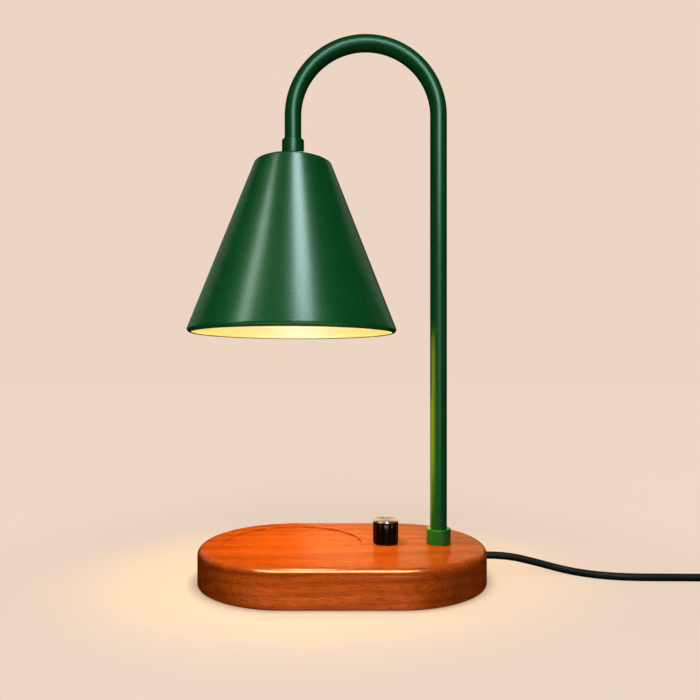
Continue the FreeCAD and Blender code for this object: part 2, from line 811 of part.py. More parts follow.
def dimmer_nut():
    z = base_top_z - pot_counterbore_depth + pot_washer_thickness
    nut = hexagon(pot_nut_flats, knob_x, 0, z, z + pot_nut_thickness)
    return nut.cut(upright(bushing_radius + seat_gap, knob_x, 0, z - 1, z + pot_nut_thickness + 1))


def dimmer_board():
    """The circuit board below the potentiometer, drilled for its two screws."""
    half = board_width / 2
    solid = block(
        Vec(board_left_x, -half, board_top_z - board_thickness), Vec(board_right_x, half, board_top_z)
    )
    for x, y in board_screw_places():
        solid = solid.cut(upright(board_screw_radius + hole_gap, x, y, 0, board_top_z + 1))
    return solid


def board_spacers():
    """Sleeves between the board and the pocket's ceiling."""
    inner = board_screw_radius + hole_gap
    return [ring(spacer_radius, inner, x, y, board_top_z, ceiling_z) for x, y in board_screw_places()]


def pan_screw(x, y, seat_z):
    """A small pan-head screw driven upwards into the ceiling."""
    shank = upright(board_screw_radius - seat_gap, x, y, seat_z, ceiling_z + board_screw_bite - 1)
    head = upright(board_screw_head_radius, x, y, seat_z - board_screw_head, seat_z)
    return shank.fuse(head)


def board_screws():
    return [pan_screw(x, y, board_top_z - board_thickness) for x, y in board_screw_places()]


def dimmer_choke():
    """The drum-shaped coil former with its winding between two flanges."""
    r, h, f = choke_radius, choke_height, choke_flange
    w = r - choke_groove
    solid = revolved(outline([(0, 0), (r, 0), (r, f), (w, f), (w, h - f), (r, h - f), (r, h), (0, h)]), 0, 0)
    solid.translate(Vec(board_left_x + r + part_margin, -board_width / 2 + r + part_margin, board_top_z))
    return solid


def dimmer_capacitor():
    """The box capacitor, with its upright edges rounded."""
    low = Vec(board_left_x + part_margin, capacitor_y - capacitor_size.y / 2, board_top_z)
    solid = block(low, low + capacitor_size)
    return solid.makeFillet(0.5, [e for e in solid.Edges if abs(e.Length - capacitor_size.z) < 1e-6])


def dimmer_triac():
    """The power switch, flat on the board, with its drilled metal tab."""
    tab_low = Vec(board_right_x - triac_tab.x - seat_gap, triac_y - triac_tab.y / 2, board_top_z)
    body_low = tab_low - Vec(triac_body.x, 0, 0)
    tab = block(tab_low, tab_low + triac_tab)
    middle = tab_low + triac_tab / 2
    hole = upright(triac_tab.x / 4, middle.x, middle.y, board_top_z - 1, board_top_z + triac_tab.z + 1)
    return block(body_low, body_low + triac_body).fuse(tab.cut(hole))


def terminal_block():
    """Two-way screw terminal for the cord's cores, with its openings towards the outlet."""
    low = Vec(board_right_x - block_body.x, cord_y - block_body.y / 2, board_top_z)
    solid = block(low, low + block_body)
    for side in (-1, 1):
        y = cord_y + side * core_spread
        start = Vec(low.x + block_body.x / 2, y, cord_z)
        solid = solid.cut(rod(core_radius + hole_gap, start, start + Vec(block_body.x, 0, 0)))
        screw_y = cord_y + side * block_body.y / 4
        solid = solid.cut(upright(1.4, low.x + block_body.x / 3, screw_y, low.z + block_body.z - 1, low.z + 20))
    return solid


# ------------------------------------------------------------------ cord


def cord_grommet():
    """A sleeve through the end wall, with a short nose that tapers down to the cord."""
    inner = cord_radius + seat_gap
    wall = grommet_wall - seat_gap
    start_x = pocket_right_x - 6
    start = Vec(start_x, cord_y, cord_z)
    sleeve = rod(cord_radius + wall, start, Vec(wall_x + grommet_nose / 3, cord_y, cord_z))
    nose = Part.makeCone(
        cord_radius + wall,
        cord_radius + grommet_nose_wall,
        grommet_nose * 2 / 3,
        Vec(wall_x + grommet_nose / 3, cord_y, cord_z),
        Vec(1, 0, 0),
    )
    return sleeve.fuse(nose).cut(rod(inner, start - Vec(1, 0, 0), Vec(nose_x + 1, cord_y, cord_z)))


def cord_inner_end():
    """The cord inside the base, stripped to two cores that enter the terminal block."""
    solids = [rod(cord_radius, Vec(sheath_end_x, cord_y, cord_z), Vec(nose_x, cord_y, cord_z))]
    tip_x = board_right_x - block_body.x / 2 + 1
    for side in (-1, 1):
        y = cord_y + side * core_spread
        solids.append(rod(core_radius, Vec(tip_x, y, cord_z), Vec(sheath_end_x, y, cord_z)))
    return solids


def clip_screw_place():
    """Beside the clip's ring, towards the back."""
    return clip_x + clip_width / 2, cord_y + cord_radius + clip_wall + clip_tab_length / 2


def cord_clip():
    """A ring round the cord with a tab that is screwed to the pocket's ceiling."""
    outer = cord_radius + clip_wall
    x_end = clip_x + clip_width
    tab_low = ceiling_z - clip_tab_thickness
    solid = rod(outer, Vec(clip_x, cord_y, cord_z), Vec(x_end, cord_y, cord_z))
    web = block(Vec(clip_x, cord_y, cord_z), Vec(x_end, cord_y + outer, ceiling_z))
    tab = block(Vec(clip_x, cord_y, tab_low), Vec(x_end, cord_y + outer + clip_tab_length, ceiling_z))
    solid = solid.fuse(web).fuse(tab)
    solid = solid.cut(rod(cord_radius + seat_gap, Vec(clip_x - 1, cord_y, cord_z), Vec(x_end + 1, cord_y, cord_z)))
    x, y = clip_screw_place()
    return solid.cut(upright(board_screw_radius + hole_gap, x, y, tab_low - 1, ceiling_z + 1))


def clip_screw():
    x, y = clip_screw_place()
    return pan_screw(x, y, ceiling_z - clip_tab_thickness)


def cord_tube(points, name):
    """The plain tube of a free stretch of cord. It prints its bends and tests its volume."""
    path, radii = cord_path(points)
    solid = swept(path, cord_radius)
    ideal = math.pi * cord_radius**2 * path.Length
    bends = ", ".join(f"{r:.0f}" for r in radii)
    print(f"{name}: {path.Length:.0f} mm, radii {bends} mm, volume {solid.Volume / ideal:.4f} of section x length")
    return solid


def power_cord():
    return cord_tube(cord_route, "power_cord")


def plug_lead():
    return cord_tube(plug_route, "plug_lead")


def coil_section(grow):
    """Inner radius, outer radius, foot and top of the coil's bundle of turns, grown by a distance."""
    outer = coil_outer_turn + turn_pitch / 2
    inner = outer - coil_turns_wide * turn_pitch
    top = tie_thickness + 2 * cord_radius + (coil_layers - 1) * turn_pitch
    return inner - grow, outer + grow, tie_thickness - grow, top + grow


def cord_coil():
    """The outer shape of the wound length: a flat ring with rounded edges."""
    inner, outer, low, high = coil_section(0)
    body = ring(outer, inner, coil_centre.x, coil_centre.y, low, high)
    return body.makeFillet(cord_radius * 0.9, [e for e in body.Edges if e.Curve.TypeId == "Part::GeomCircle"])


def cord_tie():
    """A flat strap round the bundle of turns."""
    inner, outer, low, high = coil_section(0)
    t = tie_thickness
    x, y = coil_centre.x, coil_centre.y
    half = tie_width / 2
    outside = block(Vec(x + inner - 2 * t, y - half, 0), Vec(x + outer + t, y + half, high + t))
    inside = block(Vec(x + inner - t, y - half - 1, t), Vec(x + outer, y + half + 1, high))
    return outside.cut(inside)


def plug_section(back, size, corner):
    """The rounded outline of the grip, a distance back from where the strain relief meets it."""
    at_x, y = plug_tail.x - plug_relief_length - back, plug_tail.y
    low = Vec(at_x, y - size.y / 2, plug_z - size.z / 2)
    slab = block(low, low + Vec(1, size.y, size.z))
    rounded = slab.makeFillet(corner, [e for e in slab.Edges if abs(e.tangentAt(e.FirstParameter).x) > 0.5])
    return [f for f in rounded.Faces if abs(f.CenterOfMass.x - at_x) < 1e-6][0].OuterWire


def plug_body():
    """The moulded plug: a waisted grip and a ribbed strain relief, lying on its broad side."""
    size = plug_body_size
    x, y, z = plug_tail.x - plug_relief_length, plug_tail.y, plug_z
    shoulder = size.x - plug_face_depth
    grip = Part.makeLoft(
        [
            plug_section(0, plug_neck_size, plug_neck_round),
            plug_section(plug_waist_size.x, plug_waist_size, plug_round),
            plug_section(shoulder, size, plug_round),
        ],
        True,
        True,
    )
    face = Part.Face(plug_section(shoulder, size, plug_round)).extrude(Vec(-plug_face_depth, 0, 0))
    tip_radius = cord_radius + plug_relief_tip_wall
    relief = Part.makeCone(plug_relief_radius, tip_radius, plug_relief_length, Vec(x, y, z), Vec(1, 0, 0))
    solid = grip.fuse(face).fuse(relief)
    pitch = plug_relief_length / (plug_relief_ribs + 1)
    for k in range(plug_relief_ribs):
        rib_x = x + (k + 0.6) * pitch
        rib = rod(plug_relief_radius - plug_rib_step * k, Vec(rib_x, y, z), Vec(rib_x + pitch / 2, y, z))
        solid = solid.fuse(rib)
    return solid.removeSplitter()


def plug_blades():
    """Two flat blades that stand out of the plug's front face, drilled near their tips."""
    x = plug_tail.x - plug_relief_length - plug_body_size.x
    hole_x = x - blade_size.x + blade_hole_inset
    blades = []
    for side in (-1, 1):
        y = plug_tail.y + side * blade_spacing / 2
        low = Vec(x - blade_size.x, y - blade_size.y / 2, plug_z - blade_size.z / 2)
        blade = block(low, low + blade_size)
        tips = [e for e in blade.Edges if abs(e.CenterOfMass.x - low.x) < 1e-6]
        blade = blade.makeChamfer(blade_chamfer, [e for e in tips if abs(e.CenterOfMass.z - plug_z) < 1e-6])
        across = Vec(0, blade_size.y, 0)
        hole = rod(blade_hole_radius, Vec(hole_x, y, plug_z) - across, Vec(hole_x, y, plug_z) + across)
        blades.append(blade.cut(hole))
    return blades


# ------------------------------------------------------------------ write the pieces

PIECES = [
    wood_block,
    bottom_cover,
    cover_screws,
    non_slip_pad,
    arm_tube,
    base_ferrule,
    post_washer,
    post_nut,
    shade_collar,
    shade,
    shade_washer,
    shade_nut,
    holder_bracket,
    holder_screws,
    lamp_holder,
    holder_contacts,
    lamp_leads,
    bulb_pins,
    bulb_base,
    bulb_reflector,
    bulb_lens,
    bulb_capsule,
    knob_body,
    knob_cap,
    dimmer_shaft,
    dimmer_pot,
    dimmer_washer,
    dimmer_nut,
    dimmer_board,
    board_spacers,
    board_screws,
    dimmer_choke,
    dimmer_capacitor,
    dimmer_triac,
    terminal_block,
    cord_grommet,
    cord_inner_end,
    cord_clip,
    clip_screw,
    power_cord,
    cord_coil,
    cord_tie,
    plug_lead,
    plug_body,
    plug_blades,
]


def write(piece):
    """Builds one piece, tests that it is made of sound solids, and writes its file."""
    made = piece()
    shape = Part.makeCompound(made) if isinstance(made, list) else made
    solids = shape.Solids
    if not solids or not all(s.isValid() and s.Volume > 0 for s in solids):
        raise ValueError(f"{piece.__name__} is not made of sound solids")
    shape = Part.makeCompound(solids) if len(solids) > 1 else solids[0]
    shape.exportStep(os.path.join("parts", piece.__name__ + ".step"))
    box = shape.optimalBoundingBox()
    print(f"{piece.__name__}: {len(solids)} solid(s), {box.XLength:.1f} x {box.YLength:.1f} x {box.ZLength:.1f} mm")


os.makedirs("parts", exist_ok=True)
for piece in PIECES:
    write(piece)
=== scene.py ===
# %% [markdown]
# A candle warmer lamp melts a jar candle from above: a bulb in a cone shade hangs over a seat in a
# wooden base, and a dimmer sets its heat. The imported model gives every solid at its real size, so this
# script only dresses it. Lengths are in metres, +Z is up, and the lamp stands on z = 0.

# %% Load the frame
import math

import bmesh
import bpy
import numpy as np
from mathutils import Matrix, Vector


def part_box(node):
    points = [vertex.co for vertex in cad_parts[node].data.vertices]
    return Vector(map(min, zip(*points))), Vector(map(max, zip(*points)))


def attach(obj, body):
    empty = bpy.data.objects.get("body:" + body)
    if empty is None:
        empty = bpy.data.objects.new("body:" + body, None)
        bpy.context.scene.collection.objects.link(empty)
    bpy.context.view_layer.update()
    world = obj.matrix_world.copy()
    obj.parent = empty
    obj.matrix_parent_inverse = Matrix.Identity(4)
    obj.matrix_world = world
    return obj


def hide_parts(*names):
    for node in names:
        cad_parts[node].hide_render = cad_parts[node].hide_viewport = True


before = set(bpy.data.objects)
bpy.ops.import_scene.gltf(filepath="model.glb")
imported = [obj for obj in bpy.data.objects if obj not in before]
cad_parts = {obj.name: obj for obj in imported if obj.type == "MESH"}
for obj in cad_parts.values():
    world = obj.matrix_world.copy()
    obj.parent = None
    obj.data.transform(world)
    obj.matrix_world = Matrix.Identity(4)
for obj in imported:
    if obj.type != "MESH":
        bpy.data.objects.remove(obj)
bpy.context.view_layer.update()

MM = 0.001

# %% [markdown]
# The camera stands level with the middle of the post, so upright edges stay parallel. Its distance and
# height give the base the same ellipse, and the rim the same open lens, as a viewer at a table sees.
# A level camera that still frames the whole lamp uses a small upward shift, not a tilt.

# %% Camera
FRAME_PX = 700.0
FOCAL_PX = 640.0  # focal length, in pixels of the frame
HORIZON_PX = 24.5  # how far the horizon lies below the middle of the frame
SENSOR_MM = 36.0
PLANE_SCALE_MM = 0.6  # one pixel at the lamp's middle plane
EYE_X, EYE_Z = 4.6 * MM, 122.9 * MM


def placed(name, data):
    """A new object with this data, linked to the scene."""
    made = bpy.data.objects.new(name, data)
    bpy.context.scene.collection.objects.link(made)
    return made


camera_data = bpy.data.cameras.new("camera")
camera_data.sensor_width = SENSOR_MM
camera_data.lens = FOCAL_PX / FRAME_PX * SENSOR_MM
camera_data.shift_y = HORIZON_PX / FRAME_PX
camera = placed("camera", camera_data)
camera.location = (EYE_X, -FOCAL_PX * PLANE_SCALE_MM * MM, EYE_Z)
camera.rotation_euler = (math.pi / 2, 0, 0)
bpy.context.scene.camera = camera
print("camera lens, mm:", round(camera_data.lens, 2))

# %% [markdown]
# The power cord is one length of round vinyl lead. It leaves the base through a grommet, sinks to the
# table and runs off to the right, and the length that isn't needed is wound into a neat coil under a
# tie. One smooth spline carries all of it: the free stretch is listed, and the turns come from a loop.

# %% Cord route
CORD_RADIUS = 2.25 * MM
COIL_CENTRE = np.array([255.0, -38.5, 0.0]) * MM
OUTER_TURN = 33.0 * MM
TURN_PITCH = 4.7 * MM
POINTS_PER_TURN = 16
TURNS = 6.5
LOW_LAYER_Z, HIGH_LAYER_Z = 2.85 * MM, 7.55 * MM
free_route = np.array([
    (88.55, 12.0, 11.2),
    (100.5, 12.0, 11.2),
    (118.0, 11.9, 7.3),
    (136.5, 11.2, 2.35),
    (151.0, 1.6, 2.25),
    (170.0, -3.2, 2.25),
    (196.0, -3.5, 2.25),
    (222.0, -4.0, 2.25),
    (241.0, -5.2, 2.35),
]) * MM
plug_route = np.array([(245.0, -71.7, 6.85), (235.0, -71.5, 6.5)]) * MM


def coil_turns():
    """Control points of the coil: three turns inwards on the table, a climb, then outwards on top of them.

    Each turn keeps its radius for half a turn and moves on by one pitch over the other half, along the
    smooth step 3 s^2 - 2 s^3, so neighbours stay a pitch apart. The fourth turn climbs a layer over its
    first half, where nothing crosses it. Angles run clockwise, from the back of the coil.
    """
    done = np.arange(int(TURNS * POINTS_PER_TURN) + 1) / POINTS_PER_TURN
    turn = np.floor(done)
    first_half = np.clip(2 * (done - turn), 0, 1)
    second_half = np.clip(2 * (done - turn) - 1, 0, 1)
    step = second_half * second_half * (3 - 2 * second_half)
    inwards = np.where(turn < 3, turn + step, 3 - (turn - 3) - step)
    radius = (OUTER_TURN - TURN_PITCH * inwards) / math.cos(math.pi / POINTS_PER_TURN)
    climb = first_half * first_half * (3 - 2 * first_half)
    climb = np.where(turn == 3, climb, (turn > 3).astype(float))
    angle = math.pi / 2 - 2 * math.pi * done
    x = COIL_CENTRE[0] + radius * np.cos(angle)
    y = COIL_CENTRE[1] + radius * np.sin(angle)
    z = LOW_LAYER_Z + (HIGH_LAYER_Z - LOW_LAYER_Z) * climb
    return np.stack([x, y, z], axis=1)


cord_points = np.concatenate([free_route, coil_turns(), plug_route])
print("cord control points:", len(cord_points))

# %% [markdown]
# A NURBS curve of order 3 rounds every corner of its control points. Its order and its ends are set
# once the points are there. The bevel is a circle of radius 1 that each point scales to its own radius,
# which is the lead's, so that the curve's box is the real size too.

# %% Cord curve
def nurbs_curve(name, points, radius):
    """One open NURBS spline of order 3, with a round bevel. A radius of 0 gives the bare line."""
    data = bpy.data.curves.new(name, "CURVE")
    data.dimensions = "3D"
    spline = data.splines.new("NURBS")
    spline.points.add(len(points) - 1)
    flat = np.concatenate([points, np.ones((len(points), 1))], axis=1)
    spline.points.foreach_set("co", flat.ravel())
    spline.points.foreach_set("radius", np.full(len(points), max(radius, 1e-6)))
    spline.order_u = 3
    spline.use_endpoint_u = True
    spline.resolution_u = 6
    data.bevel_depth = 1.0 if radius else 0.0
    data.bevel_resolution = 6
    data.use_fill_caps = True
    return placed(name, data)


def centreline(points):
    """The points of the same spline, read back from a bare copy of it."""
    bare = nurbs_curve("bare_line", points, 0.0)
    bare.data.use_fill_caps = False
    mesh = bpy.data.meshes.new_from_object(bare.evaluated_get(bpy.context.evaluated_depsgraph_get()))
    line = np.empty(len(mesh.vertices) * 3)
    mesh.vertices.foreach_get("co", line)
    bpy.data.objects.remove(bare)
    bpy.data.meshes.remove(mesh)
    return line.reshape(-1, 3)


cord = nurbs_curve("lead", cord_points, CORD_RADIUS)
cord_line = centreline(cord_points)
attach(cord, "base")
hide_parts("power_cord", "cord_coil", "plug_lead")

# %% [markdown]
# Colours are easier to name as they look on a screen, so they are written as sRGB hex and turned to the
# linear values that shaders use. Most patterns below are noise, whose values seldom leave the span from
# 0.3 to 0.7, so colours and gloss are spread over that span. One small function adds a shader node, sets
# what it is given and links what comes from another node. A material is a recipe of such nodes, and what
# the recipe returns goes into its one shader.

# %% Colour and node helpers
NOISE_LOW, NOISE_HIGH = 0.3, 0.7
NOISE_SPAN = {"From Min": NOISE_LOW, "From Max": NOISE_HIGH}


def linear(code):
    """sRGB hex to linear: c / 12.92 in the dark part and ((c + 0.055) / 1.055) ** 2.4 above it."""
    channels = [int(code[i : i + 2], 16) / 255 for i in (1, 3, 5)]
    return [c / 12.92 if c <= 0.04045 else ((c + 0.055) / 1.055) ** 2.4 for c in channels] + [1.0]


def shades(low, high):
    """Two near colours, given as hex, as the stops of a ramp over a noise's usual span."""
    return [(NOISE_LOW, linear(low)), (NOISE_HIGH, linear(high))]


def add(tree, kind, inputs=None, stops=None, **settings):
    """Adds a shader node of a kind. Another node's socket is linked, and anything else is set as a value."""
    made = tree.nodes.new("ShaderNode" + kind)
    for name, value in settings.items():
        setattr(made, name, value)
    for key, value in (inputs or {}).items():
        if isinstance(value, bpy.types.NodeSocket):
            tree.links.new(value, made.inputs[key])
        else:
            made.inputs[key].default_value = value
    if stops:
        ramp = made.color_ramp.elements
        ramp[0].position, ramp[0].color = stops[0]
        ramp[-1].position, ramp[-1].color = stops[-1]
        for place, colour in stops[1:-1]:
            ramp.new(place).color = colour
    return made


def material(name, recipe, *look, **more):
    """A new material. Its recipe adds the nodes it needs to the tree and returns the shader's inputs."""
    made = bpy.data.materials.new(name)
    made.use_nodes = True
    tree = made.node_tree
    tree.nodes.clear()
    shader = add(tree, "BsdfPrincipled", recipe(tree, *look, **more))
    add(tree, "OutputMaterial", {"Surface": shader.outputs["BSDF"]})
    return made


print("pure white in linear:", linear("#ffffff"))

# %% [markdown]
# The metal of the arm and the shade is steel under a satin powder coat: melted plastic powder with a
# fine orange peel. The peel breaks a soft reflection into grains about a millimetre wide. It is a small
# bump, and its height also changes how much is reflected. The roughness hardly follows it, because that
# would speckle the dark parts as well. On the thin tube the powder flows out flat, and is a bit duller.

# %% Powder coat
def powder_coat(tree, low, high, gloss, relief):
    """Green coat: a peel of 0.8 mm in gloss and bump, and a colour that drifts over 25 mm.

    A noise's scale is 1 over the size of its grain. The reflection is 0.5, plus or minus the relief.
    """
    place = add(tree, "TexCoord").outputs["Object"]
    peel = add(tree, "TexNoise", {"Vector": place, "Scale": 1 / 0.0008, "Detail": 2.0, "Roughness": 0.6})
    drift = add(tree, "TexNoise", {"Vector": place, "Scale": 1 / 0.025, "Detail": 3.0})
    colour = add(tree, "ValToRGB", {"Fac": drift.outputs["Fac"]}, stops=shades(low, high))
    rough = add(tree, "MapRange", {
        "Value": peel.outputs["Fac"], **NOISE_SPAN, "To Min": gloss[0], "To Max": gloss[1],
    })
    shine = add(tree, "MapRange", {
        "Value": peel.outputs["Fac"], **NOISE_SPAN, "To Min": 0.5 - relief, "To Max": 0.5 + relief,
    })
    bump = add(tree, "Bump", {"Height": peel.outputs["Fac"], "Strength": relief, "Distance": 0.01 * MM})
    return {
        "Base Color": colour.outputs["Color"],
        "Roughness": rough.outputs["Result"],
        "Normal": bump.outputs["Normal"],
        "Specular IOR Level": shine.outputs["Result"],
    }


def warm_enamel(tree):
    """The inside of the shade: sprayed cream enamel, half matt so that it spreads the bulb's light."""
    place = add(tree, "TexCoord").outputs["Object"]
    peel = add(tree, "TexNoise", {"Vector": place, "Scale": 1 / 0.0012, "Detail": 2.0})
    colour = add(tree, "ValToRGB", {"Fac": peel.outputs["Fac"]}, stops=shades("#f3e3bd", "#fbefd0"))
    bump = add(tree, "Bump", {"Height": peel.outputs["Fac"], "Strength": 0.2, "Distance": 0.03 * MM})
    return {"Base Color": colour.outputs["Color"], "Roughness": 0.5, "Normal": bump.outputs["Normal"]}


green_coat = material("satin_powder_coat_green", powder_coat, "#045325", "#065a29", (0.265, 0.275), 0.1)
smooth_coat = material("smooth_powder_coat_green", powder_coat, "#045023", "#055626", (0.33, 0.35), 0.0)
cream_enamel = material("cream_reflector_enamel", warm_enamel)
print("materials:", green_coat.name, smooth_coat.name, cream_enamel.name)

# %% [markdown]
# Most plain finishes are alike in kind: a colour that drifts between two near shades, a gloss that
# drifts with it, and a fine grain that catches the light. One recipe gives them all, and what differs
# is the real grain size, the gloss and the colours.

# %% Plain finishes
def plain(tree, low, high, grain_mm, gloss, relief_mm, **shader):
    """Colour, roughness and bump follow one noise. Its grain and its relief are in millimetres."""
    place = add(tree, "TexCoord").outputs["Object"]
    noise = add(tree, "TexNoise", {"Vector": place, "Scale": 1 / (grain_mm * MM), "Detail": 3.0})
    colour = add(tree, "ValToRGB", {"Fac": noise.outputs["Fac"]}, stops=shades(low, high))
    rough = add(tree, "MapRange", {
        "Value": noise.outputs["Fac"], **NOISE_SPAN, "To Min": gloss[0], "To Max": gloss[1],
    })
    bump = add(tree, "Bump", {"Height": noise.outputs["Fac"], "Strength": 0.5, "Distance": relief_mm * MM})
    return {
        "Base Color": colour.outputs["Color"], "Roughness": rough.outputs["Result"],
        "Normal": bump.outputs["Normal"], **shader,
    }


# %% [markdown]
# The base is a block of cherry-coloured hardwood under a satin lacquer, with its grain along the
# length. Wood is a solid texture: long fibres, darker growth bands, and open pores that show as dashes
# along the sides and as dots on the rounded ends. So every pattern here is three-dimensional noise
# that is stretched along X, and the same pattern gives both faces. The lacquer is a coat of its own
# over wood that doesn't shine, because that blurs what it mirrors without greying the colour below.

# %% Lacquered wood
WOOD_LIGHT, WOOD_MID, WOOD_DARK = "#d56214", "#ce5d11", "#c0540e"
PORE_DARK = "#4a1f08"
BAND_SPACING = 0.006
RING_SPACING = 0.314  # the wave texture's own ring spacing at scale 1, which is 2 pi / 20
WANDER_SCALE = (9.0, 40.0, 40.0)  # the grain bends over about 110 mm of length and 25 mm of width
WANDER = (0.004, 0.004, 0.008)  # and by this much at most
HEART = (0.0, 0.06, 0.11)  # the tree's heart lies 60 mm to the front and 110 mm below


def lacquered_wood(tree):
    """Growth bands, streaks 4 mm thick, fibres 1.1 mm thick and pores of 5 mm by 0.5 mm, under lacquer."""
    place = add(tree, "TexCoord").outputs["Object"]

    def along_grain(length, thickness, detail):
        """Noise stretched along X: its grains are as long and as thick as given, in metres."""
        size = (1 / length, 1 / thickness, 1 / thickness)
        stretched = add(tree, "Mapping", {"Vector": bent.outputs["Vector"], "Scale": size})
        noise = {"Vector": stretched.outputs["Vector"], "Scale": 1.0, "Detail": detail}
        return add(tree, "TexNoise", noise).outputs["Fac"]

    def tinted(colour, factor, low, high):
        """The colour times a grey that runs from low to high with the factor."""
        grey = add(tree, "MapRange", {"Value": factor, **NOISE_SPAN, "To Min": low, "To Max": high})
        scaled = {0: colour, "Scale": grey.outputs["Result"]}
        return add(tree, "VectorMath", scaled, operation="SCALE").outputs["Vector"]

    slow = add(tree, "Mapping", {"Vector": place, "Scale": WANDER_SCALE})
    wander = add(tree, "TexNoise", {"Vector": slow.outputs["Vector"], "Scale": 1.0, "Detail": 2.0})
    bend = add(tree, "VectorMath", {0: wander.outputs["Color"], 1: WANDER}, operation="MULTIPLY")
    bent = add(tree, "VectorMath", {0: place, 1: bend.outputs["Vector"]}, operation="ADD")
    heart = add(tree, "Mapping", {
        "Vector": bent.outputs["Vector"], "Location": HEART, "Rotation": (0.0, 0.03, 0.02),
    })
    rings = {
        "Vector": heart.outputs["Vector"], "Scale": RING_SPACING / BAND_SPACING,
        "Distortion": 1.2, "Detail": 2.0, "Detail Scale": 0.5,
    }
    bands = add(tree, "TexWave", rings, wave_type="RINGS", rings_direction="X", wave_profile="SIN")
    streaks = along_grain(0.09, 0.004, 2.0)
    fibres = along_grain(0.018, 0.0011, 3.0)
    pores = along_grain(0.005, 0.0005, 1.0)
    mottle = add(tree, "TexNoise", {"Vector": place, "Scale": 1 / 0.007, "Detail": 2.0})
    tone = add(
        tree, "ValToRGB", {"Fac": bands.outputs["Fac"]},
        stops=[(0.0, linear(WOOD_LIGHT)), (0.7, linear(WOOD_MID)), (1.0, linear(WOOD_DARK))],
    )
    colour = tinted(tone.outputs["Color"], streaks, 0.92, 1.07)
    colour = tinted(colour, fibres, 0.82, 1.14)
    colour = tinted(colour, mottle.outputs["Fac"], 0.94, 1.05)
    pore_mask = add(tree, "MapRange", {"Value": pores, "From Min": 0.56, "From Max": 0.7, "To Max": 0.45})
    darkened = {"Factor": pore_mask.outputs["Result"], 6: colour, 7: linear(PORE_DARK)}
    pored = add(tree, "Mix", darkened, data_type="RGBA")
    rough = add(tree, "MapRange", {"Value": fibres, **NOISE_SPAN, "To Min": 0.5, "To Max": 0.4})
    bump = add(tree, "Bump", {"Height": fibres, "Strength": 0.2, "Distance": 0.05 * MM})
    return {
        "Base Color": pored.outputs[2],
        "Roughness": rough.outputs["Result"],
        "Normal": bump.outputs["Normal"],
        "Specular IOR Level": 0.0,
        "Coat Weight": 0.8,
        "Coat Roughness": 0.22,
    }


wood = material("lacquered_cherry_wood", lacquered_wood)
print("material:", wood.name)

# %% [markdown]
# Each new piece is a grid of points: rows run along a profile or a path, and columns run round it. The
# grid becomes quads, a row that shrinks to a point becomes a fan, and the normals are turned outwards.

# %% Grids to meshes
SHARP_ANGLE = math.radians(50)


def skin(name, grid, low_pole=None, high_pole=None, closed_rows=False):
    """A mesh from grid[row, column], closed round its columns, with an optional point at each end.

    The quad of row i and column j has corners (i, j), (i, j + 1), (i + 1, j + 1) and (i + 1, j). Its UV is
    the angle as a share of the turn, and the distance along the profile in metres.
    """
    rows, columns = grid.shape[:2]
    points = grid.reshape(-1, 3)
    i, j = np.meshgrid(np.arange(rows if closed_rows else rows - 1), np.arange(columns), indexing="ij")
    after_i, after_j = (i + 1) % rows, (j + 1) % columns
    corners = [i * columns + j, i * columns + after_j, after_i * columns + after_j, after_i * columns + j]
    faces = np.stack(corners, axis=-1).reshape(-1, 4).tolist()
    steps = np.linalg.norm(np.diff(grid[:, 0], axis=0), axis=1)
    along = np.concatenate([[0.0], np.cumsum(steps)])
    after_along = along[after_i]
    u0, u1 = j / columns, (j + 1) / columns
    uv = [(u0, along[i]), (u1, along[i]), (u1, after_along), (u0, after_along)]
    uv = np.stack([np.stack(pair, -1) for pair in uv], axis=2).reshape(-1, 2)
    ring = np.arange(columns)
    share = ring / columns
    for pole, first, height in ((low_pole, 0, 0.0), (high_pole, (rows - 1) * columns, along[-1])):
        if pole is None:
            continue
        points = np.concatenate([points, [pole]])
        tip = np.full(columns, len(points) - 1)
        faces += np.stack([first + ring, first + (ring + 1) % columns, tip], axis=-1).tolist()
        level = np.full(columns, height)
        fan = [np.stack([share + part / columns, level], -1) for part in (0.0, 1.0, 0.5)]
        uv = np.concatenate([uv, np.stack(fan, axis=1).reshape(-1, 2)])
    mesh = bpy.data.meshes.new(name)
    mesh.from_pydata(points.tolist(), [], faces)
    mesh.uv_layers.new(name="round").data.foreach_set("uv", uv.ravel())
    mesh.polygons.foreach_set("use_smooth", np.ones(len(faces), dtype=bool))
    mesh.validate()
    turn_outwards(mesh)
    mesh.set_sharp_from_angle(angle=SHARP_ANGLE)
    return placed(name, mesh)


def turn_outwards(mesh):
    """Turns every face of a closed skin outwards."""
    made = bmesh.new()
    made.from_mesh(mesh)
    bmesh.ops.recalc_face_normals(made, faces=made.faces)
    made.to_mesh(mesh)
    made.free()


def turned(profile, centre_x, columns):
    """Turns a profile of (radius, height) rows about the upright line at centre_x."""
    angle = np.arange(columns) * (2 * math.pi / columns)
    radius, height = profile[:, :1], profile[:, 1:]
    x = centre_x + radius * np.cos(angle)
    y = radius * np.sin(angle)
    return np.stack([x, y, np.broadcast_to(height, x.shape)], axis=-1)


def arc(centre, radius, start, end, count):
    """Points on a circle from one angle to another, in degrees, as (radius, height) rows."""
    angle = np.radians(np.linspace(start, end, count))
    return np.stack([centre[0] + radius * np.cos(angle), centre[1] + radius * np.sin(angle)], axis=-1)


def dress(made, body, slot, finishes, *nodes):
    """A finished piece rides on its body, takes its finishes, and stands for its CAD nodes.

    Its slot is not used.
    """
    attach(made, body)
    for finish in finishes:
        made.data.materials.append(finish)
    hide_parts(*nodes)
    print(made.name, len(made.data.polygons), "faces")


# %% [markdown]
# The shade is one sheet of spun steel: a flat top with a rounded shoulder, a straight cone, and a rim
# that turns inwards. It is drawn as a closed profile, outside first and back up inside, and turned
# about its axis. The inside faces take the cream enamel and the outside ones the green coat.

